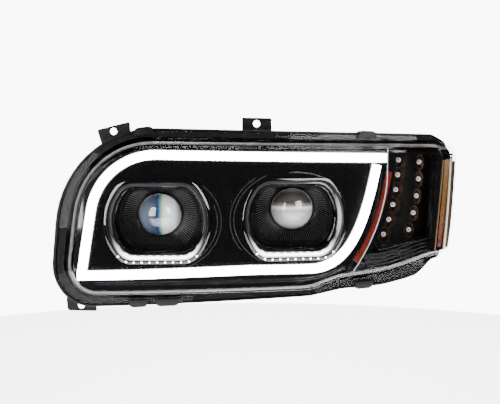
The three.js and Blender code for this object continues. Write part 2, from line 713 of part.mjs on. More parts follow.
function bulbGlass(p) {
  const y = p.apexY;
  const profile = [
    [0, y + 84], [3.5, y + 86], [5.4, y + 90], [5.4, y + 112], [5.4, y + 118.7], [0, y + 118.7],
  ];
  return turned(profile, p.x, p.z, 16);
}

function bulbBase(p) {
  const y = p.apexY;
  const flange = disc(16.5, y + 121.3, y + 123, p.x, p.z, 20);
  const stem = turned([[0, y + 119], [10.5, y + 119], [10.5, y + 121.5], [0, y + 121.5]], p.x, p.z, 20);
  const body = disc(11, y + 122.5, y + 131, p.x, p.z, 20);
  const blades = [-4, 4].map((x) => box(p.x + x - 0.5, p.x + x + 0.5, y + 130, y + 138, p.z - 3, p.z + 3));
  return join(flange, stem, body, ...blades);
}

// The spring plate that holds the bulb's flange against the reflector's neck.
function bulbRetainer(p) {
  const y = p.apexY + 123.3;
  const tabs = [0, 1, 2].map((i) => {
    const tab = box(14, 21, y, y + 0.8, -4, 4);
    return tab.rotateY((i * Math.PI * 2) / 3 + Math.PI / 6).translate(p.x, 0, p.z);
  });
  return join(ring(11.6, 17.5, y, y + 0.8, p.x, p.z, 20), ...tabs);
}

// ---------------------------------------------------------------- aiming gear and rear fittings
function aimStud(p) {
  const pivot = p.apexY + PIVOT_BACK;
  const z = p.z - AIM_ARM;
  const rod = disc(2.9, pivot + 3, BACK_Y + 4, p.x, z, 12);
  return join(rod, new THREE.SphereGeometry(5, 12, 8).translate(p.x, pivot, z));
}

function aimBody(p) {
  const z = p.z - AIM_ARM;
  const y = BACK_Y;
  const profile = [
    [5.4, y - 10], [8.5, y - 10], [8.5, y + GAP], [13, y + GAP], [13, y + 4], [5.4, y + 4], [5.4, y - 10],
  ];
  return turned(profile, p.x, z, 20);
}

function aimKnob(p) {
  const z = p.z - AIM_ARM;
  const y = BACK_Y + 4.4;
  const grip = Array.from({ length: 24 }, (_, i) => {
    const a = (i / 24) * Math.PI * 2;
    const r = i % 2 ? 9.4 : 10.6;
    return [p.x + r * Math.cos(a), z + r * Math.sin(a)];
  });
  const knob = join(plate(grip, y, y + 7), disc(5.2, y + 6, y + 11, p.x, z, 6));
  const sleeve = ring(3.3, 5, BACK_Y - 9, y + 1, p.x, z, 16);
  return join(sleeve, cut(knob, disc(3.3, y - 1, y + 5, p.x, z, 16)));
}

function dustCap(p) {
  const end = COLLAR_END + 6;
  const profile = [[0, end - 3], [COLLAR_RADIUS + 1, end - 3], [COLLAR_RADIUS + 1, COLLAR_END - 8],
    [CAP_RADIUS, COLLAR_END - 8], [CAP_RADIUS, end], [0, end]];
  const grip = box(p.x - 30, p.x + 30, end - 1, end + 8, p.z - 4, p.z + 4);
  return join(turned(profile, p.x, p.z, 20), grip);
}

function capSeal(p) {
  return ring(COLLAR_BORE + 0.5, COLLAR_RADIUS - 0.5, COLLAR_END + GAP, COLLAR_END + 2.7, p.x, p.z, 20);
}

function ventCap([x, z]) {
  const y = BACK_Y;
  const profile = [
    [0, y - 6], [4.6, y - 6], [4.6, y + GAP], [9, y + GAP], [9, y + 9], [7, y + 11], [0, y + 11],
  ];
  return turned(profile, x, z, 16);
}

function connectorSocket() {
  const [x, z] = SOCKET_CENTRE;
  const y = BACK_Y;
  const flange = box(x - 22, x + 22, y + GAP, y + 3, z - 14, z + 14);
  const sleeve = box(x - 17, x + 17, y + 2, y + 22, z - 9.5, z + 9.5);
  const plug = box(x - 15.5, x + 15.5, y - 8, y + 1, z - 7.5, z + 7.5);
  const mouth = box(x - 14.5, x + 14.5, y + 6, y + 23, z - 7, z + 7);
  const pins = [-9, 0, 9].flatMap((dx) => [-3, 3].map((dz) =>
    box(x + dx - 0.8, x + dx + 0.8, y + 5, y + 13, z + dz - 0.8, z + dz + 0.8)));
  return join(cut(join(flange, sleeve, plug), mouth), ...pins);
}

function driverModule() {
  const [x, z] = DRIVER_CENTRE;
  const y = BACK_Y + GAP;
  const fins = [-30, -18, -6, 6, 18, 30].map((dx) =>
    box(x + dx - 2, x + dx + 2, y + 9, y + 20, z - 28, z + 28));
  return join(box(x - 38, x + 38, y, y + 10, z - 32, z + 32), ...fins);
}

// ---------------------------------------------------------------- rim clips and brackets
// A spring clip round the rim. Its front finger holds the lens's foot to the housing.
function rimClip([s, side, width]) {
  const half = width / 2;
  const edge = rimLine(LIP_OUTER).filter(([, z]) => z * side > 0).sort((a, b) => a[0] - b[0]);
  const i = edge.findIndex(([x]) => x > s);
  const [[x0, z0], [x1, z1]] = [edge[i - 1], edge[i]];
  const slope = (z1 - z0) / (x1 - x0);
  const section = [
    [-10, 39.8], [3, 39.8], [3, 54.8], [-5, 54.8], [-5, 53.2], [1.2, 53.2], [1.2, 41.6], [-10, 41.6],
  ];
  const ends = [-half, half].map((dx) => section.map(([offset, depth]) =>
    new THREE.Vector3(s + dx, depth, z0 + slope * (s + dx - x0) + side * offset)));
  return bend(strip(ends), rimDepth);
}

// A prism through two matching sections that stand across s.
function strip(rings) {
  const across = rings.map((points) => points.map((p) => new THREE.Vector3(p.y, -p.x, p.z)));
  return loft(across).rotateZ(Math.PI / 2);
}

// ---------------------------------------------------------------- everything together
add('housing', 'housing', housing());
add('outer_lens', 'clear', outerLens());
add('lens_seal', 'sealant', lensSeal());
add('inner_bezel', 'gloss', bezel());
add('light_bar', 'white', lightBar());
add('light_bar_board', 'board', lightBarBoard());
add('turn_signal_panel', 'gloss', turnPanel());
add('turn_signal_board', 'board', turnBoard());
add('amber_reflector_strip', 'amber', amberStrip());
add('side_reflector', 'amber', sideReflector());
for (const p of PROJECTORS) {
  add(`${p.name}_shroud`, 'gloss', shroud(p));
  add(`${p.name}_halo`, 'white', halo(p));
  add(`${p.name}_projector_lens`, 'glass', projectorLens(p));
  add(`${p.name}_lens_mask`, 'gloss', lensMask(p));
  add(`${p.name}_lens_carrier`, 'alloy', lensCarrier(p));
  add(`${p.name}_aim_frame`, 'alloy', aimFrame(p));
  add(`${p.name}_reflector`, 'bright', reflector(p));
  add(`${p.name}_bulb_glass`, 'glass', bulbGlass(p));
  add(`${p.name}_bulb_base`, 'nylon', bulbBase(p));
  add(`${p.name}_bulb_retainer`, 'bright', bulbRetainer(p));
  add(`${p.name}_pivot_yoke`, 'steel', pivotYoke(p));
  add(`${p.name}_aim_stud`, 'bright', aimStud(p));
  add(`${p.name}_aim_body`, 'nylon', aimBody(p));
  add(`${p.name}_aim_knob`, 'nylon', aimKnob(p));
  add(`${p.name}_dust_cap`, 'rubber', dustCap(p));
  add(`${p.name}_cap_seal`, 'rubber', capSeal(p));
  if (p.shield) add(`${p.name}_cutoff_shield`, 'bright', cutoffShield(p));
}
VENTS.forEach((vent, i) => add(`vent_cap_${i + 1}`, 'rubber', ventCap(vent)));
add('connector_socket', 'housing', connectorSocket());
add('driver_module', 'alloy', driverModule());
CLIPS.forEach((clip, i) => add(`rim_clip_${i + 1}`, 'steel', rimClip(clip)));
for (const b of BRACKETS) add(b.name, 'housing', bracket(b));

export default assembly;
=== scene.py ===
"""Looks for the truck headlight assembly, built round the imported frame.

Front pieces are drawn in face coordinates (s along the face, z up, d behind the face, in
millimetres), as in the CAD part, and bent round the plan curve of the vehicle's corner.
"""

from math import acos, atan2, ceil, cos, degrees, floor, hypot, pi, radians, sin, sqrt, tan

import bmesh
import bpy
from mathutils import Matrix, Vector


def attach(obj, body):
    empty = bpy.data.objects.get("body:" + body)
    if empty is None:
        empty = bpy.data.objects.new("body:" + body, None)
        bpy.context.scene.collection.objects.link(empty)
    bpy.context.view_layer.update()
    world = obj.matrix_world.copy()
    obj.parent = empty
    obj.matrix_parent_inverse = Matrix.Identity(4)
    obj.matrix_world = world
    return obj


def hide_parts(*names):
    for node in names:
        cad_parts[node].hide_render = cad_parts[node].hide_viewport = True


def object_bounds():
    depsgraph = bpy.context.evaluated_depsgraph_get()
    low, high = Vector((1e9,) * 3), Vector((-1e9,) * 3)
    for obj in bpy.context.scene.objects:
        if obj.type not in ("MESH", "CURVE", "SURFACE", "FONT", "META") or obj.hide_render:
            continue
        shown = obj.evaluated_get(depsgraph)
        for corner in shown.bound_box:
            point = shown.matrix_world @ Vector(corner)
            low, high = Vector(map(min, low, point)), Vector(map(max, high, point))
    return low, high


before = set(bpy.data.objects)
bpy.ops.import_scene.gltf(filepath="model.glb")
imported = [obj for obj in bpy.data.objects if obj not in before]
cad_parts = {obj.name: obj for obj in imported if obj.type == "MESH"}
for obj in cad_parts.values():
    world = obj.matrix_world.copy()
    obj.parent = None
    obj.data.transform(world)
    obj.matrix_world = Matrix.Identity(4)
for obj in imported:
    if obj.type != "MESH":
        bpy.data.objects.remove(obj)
CAD_BOX = [list(corner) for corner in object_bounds()]

# ------------------------------------------------------------------ dimensions, in millimetres
ORIGIN = Vector((19.5, 79, 138.5))
HEADINGS = [(-360, -10), (-150, 3), (180, 13), (274, 19.5), (384, 71), (486, 81)]
STATION_ZERO = -150
FACE_Y = 1
FACE_CORNERS = [
    (-263, 108, 120), (340, 101, 90), (426, 97, 40), (358, -77, 17), (330, -78.5, 60),
    (296, -79, 60), (228, -97, 120), (146, -107, 45), (98, -125, 80), (-299, -128, 45),
]
RIM_CORNERS = [
    (-308, 137, 170), (334, 120.5, 40), (426, 94, 30), (368, -88, 18), (338, -90, 30),
    (302, -113, 60), (232, -129, 120), (158, -132.5, 45), (104, -142.5, 80), (-337, -156.5, 66),
]
SKIRT_FOOT = 0.45
BOWL_OUTER = 0.63
FLANGE_EDGE = 0.84
LIP_INNER = 0.87
BAND_ACROSS = 0.35
FLANGE_FRONT = 42
FLANGE_BACK = 46
RIM_BACK = 52
BACK_Y = 235
SHALLOW_START, SHALLOW_END, SHALLOW_MOST, SHALLOW_FRONT, SHALLOW_BACK = 230, 384, 25, 8, 38
AIM_ARM = 62
SHROUD_R = 86
SHROUD_H = 67
SHROUD_FILLET = 30
HALO_PITCH = 12.5
DOT_INSET = 3.4
SHROUD_STRAIGHT = 60
FACE_TO_APEX = 54
LENS_R = 32.6
LENS_SAG = 18.8
MASK_RIBS = 92
BAR_WIDTH = 14.6
BAR_FRONT = 11.5
BAR_BACK = 16.6
BAR_START = (224, 84.2)
BAR_TOP_LEFT = (-240, 94.5, 105)
BAR_BOTTOM_LEFT = (-272, -98.5)
BAR_BOTTOM_MID = (0, -91.5)
BAR_BLADE = [(95, -92), (166, -92.5), (188.5, -14), (207.5, 73.5)]
STRIP_LINE = [(172, -82), (200, -50), (219, 4), (230, 62)]
STRIP_WIDTH = 9
STRIP_FRONT = 12
TURN_CORNERS = [(244, 90, 8), (337, 86, 10), (335, -52, 36), (196, -76, 6), (232, -5, 140)]
LED_COLUMNS = [(6, 79, 24.5, 257, 0.00175), (5, 74.4, 28, 308, 0.0022)]
CUP_RADIUS = 12
PANEL_FRONT = 34
EMITTER_DEPTH = 35.5
MODULE_X = -43
CLIPS = [(-172, 1, 36), (201, 1, 36), (-184, -1, 34), (-135, -1, 44), (198, -1, 36)]

CAMERA_DISTANCE = 1600
CAMERA_ELEVATION = 6
CAMERA_AIM = Vector((-4.65, 0, 20.15))
CAMERA_LENS = 74.3
WORLD_DIM = 0.035
WORLD_PALE = 12.0
LIGHT_DISTANCE = 1.15
LIGHTS = [("left", -43, 10, 17, 0.6, 0.7), ("right", 37, 18, 15, 0.6, 0.6)]


class Projector:
    """One projector: s, X and Z of its axis, Z of its shroud's centre, Y of its lens's apex, and
    how brightly its halo glows up the outer side."""

    def __init__(self, name, s, x, z, shroud_z, apex, side_glow):
        self.name = name
        self.s = s
        self.x = x
        self.z = z
        self.shroud_z = shroud_z
        self.apex = apex
        self.side_glow = side_glow
        self.body = name + "_projector"


PROJECTORS = [
    Projector("low", -150, -150.7, -8, -13.7, 55, 0.0),
    Projector("high", 72, 64.5, -1.5, -12, 81, 2.5),
]
# Painted reflections: bands of colour and glow across each projector lens stand in for the reflector, shield
# and lamps seen through it, with painted highlights and a painted rainbow fringe on the low lens.
LENS_PAINTED_REFLECTIONS = {
    "low": ("X", [(0.0, (0.10, 0.12, 0.16)), (0.28, (0.04, 0.05, 0.075)), (0.46, (0.012, 0.02, 0.04)),
                  (0.52, (0.03, 0.12, 0.22)), (0.55, (0.10, 0.24, 0.16)), (0.59, (0.45, 0.34, 0.12)),
                  (0.64, (0.38, 0.39, 0.40)), (0.86, (0.48, 0.50, 0.52)), (1.0, (0.16, 0.17, 0.19))]),
    "high": ("Z", [(0.0, (0.10, 0.10, 0.11)), (0.16, (0.34, 0.32, 0.31)), (0.46, (0.24, 0.23, 0.23)),
                   (0.55, (0.52, 0.50, 0.48)), (0.60, (0.14, 0.13, 0.13)), (0.68, (0.035, 0.028, 0.022)),
                   (0.90, (0.022, 0.020, 0.018)), (1.0, (0.10, 0.10, 0.11))]),
}
MARKER_MIDDLE = 6
MARKER_HALF = 72
# The side marker's colour bands also glow faintly, a painted glow, lighter towards the top.
MARKER_PAINTED_GLOW = [(0.0, (0.05, 0.004, 0.002)), (0.12, (0.11, 0.012, 0.004)), (0.3, (0.12, 0.045, 0.010)),
                (0.7, (0.14, 0.065, 0.018)), (1.0, (0.20, 0.12, 0.06))]


# ------------------------------------------------------------------ face coordinates
def heading(s):
    i = 1
    while i < len(HEADINGS) - 1 and s > HEADINGS[i][0]:
        i += 1
    (s0, a0), (s1, a1) = HEADINGS[i - 1], HEADINGS[i]
    return radians(a0 + (a1 - a0) * (s - s0) / (s1 - s0))


def plan_table():
    """The plan curve's points at every millimetre of s."""
    points = {STATION_ZERO: (float(STATION_ZERO), float(FACE_Y))}
    for step in (1, -1):
        x, y = points[STATION_ZERO]
        s = STATION_ZERO
        while -420 < s < 540:
            a = heading(s + step / 2)
            x += step * cos(a)
            y += step * sin(a)
            s += step
            points[s] = (x, y)
    return points


PLAN = plan_table()


def place(s, z, d):
    """Face coordinates to the design frame, in millimetres."""
    k = floor(s)
    t = s - k
    (x0, y0), (x1, y1) = PLAN[k], PLAN[k + 1]
    a = heading(s)
    x = x0 + (x1 - x0) * t
    y = y0 + (y1 - y0) * t
    return Vector((x - d * sin(a), y + d * cos(a), z))


def rim_depth(s, d):
    """A rim depth, drawn nearer to the face round the vehicle's corner."""
    along = max(0, min(1, (s - SHALLOW_START) / (SHALLOW_END - SHALLOW_START)))
    behind = max(0, min(1, (d - SHALLOW_FRONT) / (SHALLOW_BACK - SHALLOW_FRONT)))
    return d - SHALLOW_MOST * along * behind


def metres(p):
    return (Vector(p) - ORIGIN) / 1000


# ------------------------------------------------------------------ outlines
def rounded(corners, arc=14, lines=None, step=7.0):
    """A closed outline with a fillet at each corner. lines gives the pieces of each side."""
    n = len(corners)
    arcs = []
    for i, (x, z, r) in enumerate(corners):
        corner = Vector((x, z))
        u = (Vector(corners[i - 1][:2]) - corner).normalized()
        v = (Vector(corners[(i + 1) % n][:2]) - corner).normalized()
        half = acos(max(-1, min(1, u.dot(v)))) / 2
        centre = corner + (u + v).normalized() * (r / sin(half))
        first = corner + u * (r / tan(half)) - centre
        side = 1 if u.x * v.y - u.y * v.x > 0 else -1
        turn = pi - 2 * half
        points = []
        for k in range(arc + 1):
            a = -side * turn * k / arc
            c, w = cos(a), sin(a)
            points.append((centre.x + first.x * c - first.y * w, centre.y + first.x * w + first.y * c))
        arcs.append(points)
    outline = []
    counts = []
    for i, points in enumerate(arcs):
        outline += points
        (x0, z0), (x1, z1) = points[-1], arcs[(i + 1) % n][0]
        pieces = lines[i] if lines else max(1, round(hypot(x1 - x0, z1 - z0) / step))
        counts.append(pieces)
        outline += [(x0 + (x1 - x0) * k / pieces, z0 + (z1 - z0) * k / pieces) for k in range(1, pieces)]
    return outline, counts


def offset(points, distance):
    """The outline moved outwards, or inwards if the distance is negative."""
    n = len(points)
    area = sum(points[i - 1][0] * points[i][1] - points[i][0] * points[i - 1][1] for i in range(n))
    side = 1 if area > 0 else -1
    moved = []
    for i, (x, z) in enumerate(points):
        u = (Vector((x, z)) - Vector(points[i - 1])).normalized()
        v = (Vector(points[(i + 1) % n]) - Vector((x, z))).normalized()
        normal = Vector((u.y + v.y, -u.x - v.x)).normalized()
        mitre = side * distance / max(0.5, normal.dot(Vector((u.y, -u.x))))
        moved.append((x + normal.x * mitre, z + normal.y * mitre))
    return moved


def resample(points, step, closed=True):
    """Points at an even spacing along a line."""
    path = [Vector(p) for p in points] + ([Vector(points[0])] if closed else [])
    lengths = [(path[i + 1] - path[i]).length for i in range(len(path) - 1)]
    total = sum(lengths)
    count = max(2, round(total / step))
    out = []
    k, run = 0, 0.0
    for i in range(count if closed else count + 1):
        target = total * i / count
        while k < len(lengths) - 1 and run + lengths[k] < target:
            run += lengths[k]
            k += 1
        t = (target - run) / max(lengths[k], 1e-9)
        out.append(tuple(path[k].lerp(path[k + 1], min(t, 1))))
    return out


def ribbon(line, width, scallop=0.0, pitch=8.0, step=1.0):
    """A band along an open line, as one outline. Its edges can be scalloped."""
    line = resample(line, step, closed=False)
    sides = []
    for side in (1, -1):
        edge = []
        for i, p in enumerate(line):
            a = Vector(line[max(0, i - 1)])
            b = Vector(line[min(len(line) - 1, i + 1)])
            t = (b - a).normalized()
            wave = scallop * abs(sin(pi * i * step / pitch))
            half = width / 2 - scallop + wave
            edge.append((p[0] - side * t.y * half, p[1] + side * t.x * half))
        sides.append(edge)
    return sides[0] + sides[1][::-1]


def bezier(points, pieces):
    a, b, c, e = [Vector(p) for p in points]
    out = []
    for i in range(pieces + 1):
        t = i / pieces
        u = 1 - t
        out.append(tuple(a * u ** 3 + b * 3 * u * u * t + c * 3 * u * t * t + e * t ** 3))
    return out


def trimmed(radius, half, fillet=SHROUD_FILLET, arc=22, turn=8, flat=8):
    """A circle cut flat at the top and bottom, with rounds between, about its own centre."""
    fillet = min(fillet, half * 0.9)
    cx = sqrt((radius - fillet) ** 2 - (half - fillet) ** 2)
    cz = half - fillet
    tangent = atan2(cz, cx)
    quarter = []
    for i in range(arc):
        a = tangent * (i + 0.5) / (arc + 0.5)
        quarter.append((radius * cos(a), radius * sin(a)))
    for i in range(turn + 1):
        a = tangent + (pi / 2 - tangent) * i / turn
        quarter.append((cx + fillet * cos(a), cz + fillet * sin(a)))
    quarter += [(cx * (1 - i / (flat + 0.5)), half) for i in range(1, flat + 1)]
    upper = quarter + [(-x, z) for x, z in reversed(quarter)]
    return upper + [(x, -z) for x, z in reversed(upper)]


# ------------------------------------------------------------------ meshes
BEVEL_CRISP = 18


def new_object(name, data):
    obj = bpy.data.objects.new(name, data)
    bpy.context.scene.collection.objects.link(obj)
    return obj


def finish_mesh(bm, name, smooth=32):
    bmesh.ops.recalc_face_normals(bm, faces=bm.faces[:])
    mesh = bpy.data.meshes.new(name)
    bm.to_mesh(mesh)
    bm.free()
    mesh.shade_smooth()
    mesh.set_sharp_from_angle(angle=radians(smooth))
    return new_object(name, mesh)


def bevel(obj, width, segments=2):
    mod = obj.modifiers.new("edges", "BEVEL")
    mod.width = width / 1000
    mod.segments = segments
    mod.limit_method = "ANGLE"
    mod.angle_limit = radians(40)
    mod.harden_normals = True
    return obj


def bevelled(obj, width, segments=2):
    """The piece with its edges bevelled at once. The bevels stay crisp, so flat faces stay flat."""
    bevel(obj, width, segments)
    bpy.context.view_layer.update()
    made = obj.evaluated_get(bpy.context.evaluated_depsgraph_get())
    mesh = bpy.data.meshes.new_from_object(made)
    obj.modifiers.clear()
    obj.data = mesh
    mesh.shade_smooth()
    mesh.set_sharp_from_angle(angle=radians(BEVEL_CRISP))
    return obj


def loft(name, rings, closed=False, caps=(True, True), smooth=32):
    """A skin through rings of design-frame points."""
    bm = bmesh.new()
    layers = [[bm.verts.new(metres(p)) for p in ring] for ring in rings]
    n = len(layers[0])
    spans = len(layers) if closed else len(layers) - 1
    for k in range(spans):
        a, b = layers[k], layers[(k + 1) % len(layers)]
        for i in range(n):
            j = (i + 1) % n
            bm.faces.new((a[i], a[j], b[j], b[i]))
    if not closed:
        if caps[0]:
            bm.faces.new(layers[0])
        if caps[1]:
            bm.faces.new(layers[-1])
    return finish_mesh(bm, name, smooth)


def slab(name, outer, holes, front, back, step=6.0, bent=True, edge=0.0):
    """A flat plate with holes, cut into strips and bent round the plan curve."""
    bm = bmesh.new()
    edges = []
    for outline in [outer] + list(holes):
        verts = [bm.verts.new((s, front, z)) for s, z in outline]
        edges += [bm.edges.new((verts[i - 1], verts[i])) for i in range(len(verts))]
    bmesh.ops.triangle_fill(bm, use_beauty=True, use_dissolve=False, edges=edges)
    if bent:
        low = min(p[0] for p in outer)
        high = max(p[0] for p in outer)
        for k in range(ceil(low / step), floor(high / step) + 1):
            geom = bm.verts[:] + bm.edges[:] + bm.faces[:]
            bmesh.ops.bisect_plane(bm, geom=geom, dist=0.001, plane_co=(k * step, 0, 0), plane_no=(1, 0, 0))
    grown = bmesh.ops.extrude_face_region(bm, geom=bm.faces[:], use_keep_orig=True)
    moved = [v for v in grown["geom"] if isinstance(v, bmesh.types.BMVert)]
    bmesh.ops.translate(bm, verts=moved, vec=(0, back - front, 0))
    for v in bm.verts:
        v.co = metres(place(v.co.x, v.co.z, v.co.y) if bent else v.co)
    obj = finish_mesh(bm, name)
    return bevelled(obj, edge) if edge else obj


def circle_angles(count):
    return [2 * pi * k / count for k in range(count)]


def lathe(name, profile, x, z, segments=64, wave=None, smooth=32, closed=False):
    """A turned piece about an axis along Y, from (radius, y) points. wave varies the radius."""
    rings = []
    for r, y in profile:
        ring = []
        for i, a in enumerate(circle_angles(segments)):
            radius = max(r, 0.02) + (wave(i, r, y) if wave else 0)
            ring.append((x + radius * cos(a), y, z + radius * sin(a)))
        rings.append(ring)
    return loft(name, rings, closed=closed, smooth=smooth)


def shifted(profile, y):
    """(radius, depth) points moved along Y."""
    return [(r, y + d) for r, d in profile]


def block(name, x0, x1, y0, y1, z0, z1, edge=0.8):
    bm = bmesh.new()
    bmesh.ops.create_cube(bm, size=1)
    for v in bm.verts:
        v.co = metres(((x0 + x1) / 2 + v.co.x * (x1 - x0), (y0 + y1) / 2 + v.co.y * (y1 - y0),
                       (z0 + z1) / 2 + v.co.z * (z1 - z0)))
    return bevelled(finish_mesh(bm, name), edge, 3)


def joined(name, objects):
    """Several new pieces as one object, each with its own smooth and sharp edges."""
    bm = bmesh.new()
    for obj in objects:
        bm.from_mesh(obj.data)
    mesh = bpy.data.meshes.new(name)
    bm.to_mesh(mesh)
    bm.free()
    for obj in objects:
        bpy.data.objects.remove(obj)
    return new_object(name, mesh)


# ------------------------------------------------------------------ materials
class Surface:
    """A procedural material: a base colour with variation, roughness variation and fine relief."""

    def __init__(self, name, color, roughness=0.5, metallic=0.0, **sockets):
        self.material = bpy.data.materials.new(name)
        self.material.use_nodes = True
        self.tree = self.material.node_tree
        self.shader = self.tree.nodes["Principled BSDF"]
        self.shader.inputs["Base Color"].default_value = (*color, 1)
        self.shader.inputs["Roughness"].default_value = roughness
        self.shader.inputs["Metallic"].default_value = metallic
        for socket, value in sockets.items():
            self.shader.inputs[socket.replace("_", " ")].default_value = value
        self.color = color
        self.coords = self.tree.nodes.new("ShaderNodeTexCoord").outputs["Object"]

    def node(self, kind, **values):
        made = self.tree.nodes.new("ShaderNode" + kind)
        for key, value in values.items():
            made.inputs[key.replace("_", " ")].default_value = value
        return made

    def link(self, a, b):
        self.tree.links.new(a, b)

    def noise(self, scale, detail=3.0):
        made = self.node("TexNoise", Scale=scale, Detail=detail)
        self.link(self.coords, made.inputs["Vector"])
        return made.outputs["Fac"]

    def ramp(self, factor, stops):
        made = self.node("ValToRGB")
        elements = made.color_ramp.elements
        while len(elements) < len(stops):
            elements.new(0.5)
        for element, (position, color) in zip(elements, stops):
            element.position = position
            element.color = (*color, 1)
        self.link(factor, made.inputs["Fac"])
        return made.outputs["Color"]

    def spread(self, factor, low, high):
        made = self.node("MapRange", From_Min=0.3, From_Max=0.7, To_Min=low, To_Max=high)
        self.link(factor, made.inputs["Value"])
        return made.outputs["Result"]

    def along(self, axis, start, end, low=0.0, high=1.0):
        """Goes from low to high as one coordinate goes from start to end, in metres."""
        split = self.node("SeparateXYZ")
        self.link(self.coords, split.inputs["Vector"])
        made = self.node("MapRange", From_Min=start, From_Max=end, To_Min=low, To_Max=high)
        self.link(split.outputs[axis], made.inputs["Value"])
        return made.outputs["Result"]

    def calculate(self, operation, first, *values):
        """A sum whose first value, and any other, can be another node's output."""
        made = self.node("Math")
        made.operation = operation
        for socket, value in zip(made.inputs, (first, *values)):
            if isinstance(value, (int, float)):
                socket.default_value = value
            else:
                self.link(value, socket)
        return made.outputs["Value"]

    def vary(self, scale, amount):
        dark = tuple(c * (1 - amount) for c in self.color)
        light = tuple(min(1, c * (1 + amount)) for c in self.color)
        self.link(self.ramp(self.noise(scale), [(0.3, dark), (0.7, light)]), self.shader.inputs["Base Color"])
        return self

    def rough(self, scale, low, high):
        self.link(self.spread(self.noise(scale), low, high), self.shader.inputs["Roughness"])
        return self

    def grain(self, scale, strength):
        self.bump(self.noise(scale, 4.0), strength, 0.0002)
        return self

    def bump(self, height, strength, distance):
        made = self.node("Bump", Strength=strength, Distance=distance)
        self.link(height, made.inputs["Height"])
        self.link(made.outputs["Normal"], self.shader.inputs["Normal"])

    def glow(self, color, strength):
        self.shader.inputs["Emission Color"].default_value = (*color, 1)
        self.shader.inputs["Emission Strength"].default_value = strength
        return self


def prism_relief(surface, scale, strength):
    """A grid of small pyramids, as on a moulded reflector."""
    voronoi = surface.node("TexVoronoi", Scale=scale, Randomness=0.0)
    voronoi.distance = "CHEBYCHEV"
    surface.link(surface.coords, voronoi.inputs["Vector"])
    surface.bump(voronoi.outputs["Distance"], strength, 0.0006)
    return surface


def lit_guide(name, centre, radius, sides):
    """A dark, glassy light guide that glows round its lower half, and up one side if sides is not 0."""
    surface = Surface(name, (0.02, 0.021, 0.024), 0.06, 0.0, Coat_Weight=1.0, Coat_Roughness=0.02)
    down = surface.along("Z", centre.z - 0.15 * radius, centre.z - 0.68 * radius)
    strength = surface.calculate("MULTIPLY_ADD", surface.calculate("POWER", down, 4.2), 11.0, 0.03)
    if sides:
        side = surface.along("X", centre.x + 0.78 * radius, centre.x + radius, 0.0, sides)
        strength = surface.calculate("MAXIMUM", strength, side)
    surface.shader.inputs["Emission Color"].default_value = (0.97, 0.97, 1.0, 1)
    surface.link(strength, surface.shader.inputs["Emission Strength"])
    return surface


def painted_light_glass(name, centre, axis, stops, reach=LENS_R, glow=0.55):
    """A polished piece whose colour and glow are painted bands of light and shade, reach millimetres each way
    from its centre: painted reflections on the projector lenses, a painted glow on the marker.
    """
    surface = Surface(name, (0.1, 0.1, 0.1), 0.04, 0.0, Coat_Weight=1.0, Coat_Roughness=0.01)
    middle = centre["XYZ".index(axis)]
    across = surface.along(axis, middle - reach / 1000, middle + reach / 1000)
    bands = surface.ramp(across, stops)
    surface.link(bands, surface.shader.inputs["Base Color"])
    surface.link(bands, surface.shader.inputs["Emission Color"])
    surface.shader.inputs["Emission Strength"].default_value = glow
    return surface


def clear_surface(name, tint, extra):
    """A clear skin: it reflects more at grazing angles, and lets the rest through."""
    surface = Surface(name, tint, roughness=0.03, metallic=1.0)
    facing = surface.node("LayerWeight", Blend=0.5)
    grazing = surface.calculate("POWER", facing.outputs["Facing"], 5.0)
    weight = surface.calculate("MULTIPLY_ADD", grazing, 0.6, extra)
    surface.link(weight, surface.shader.inputs["Alpha"])
    return surface


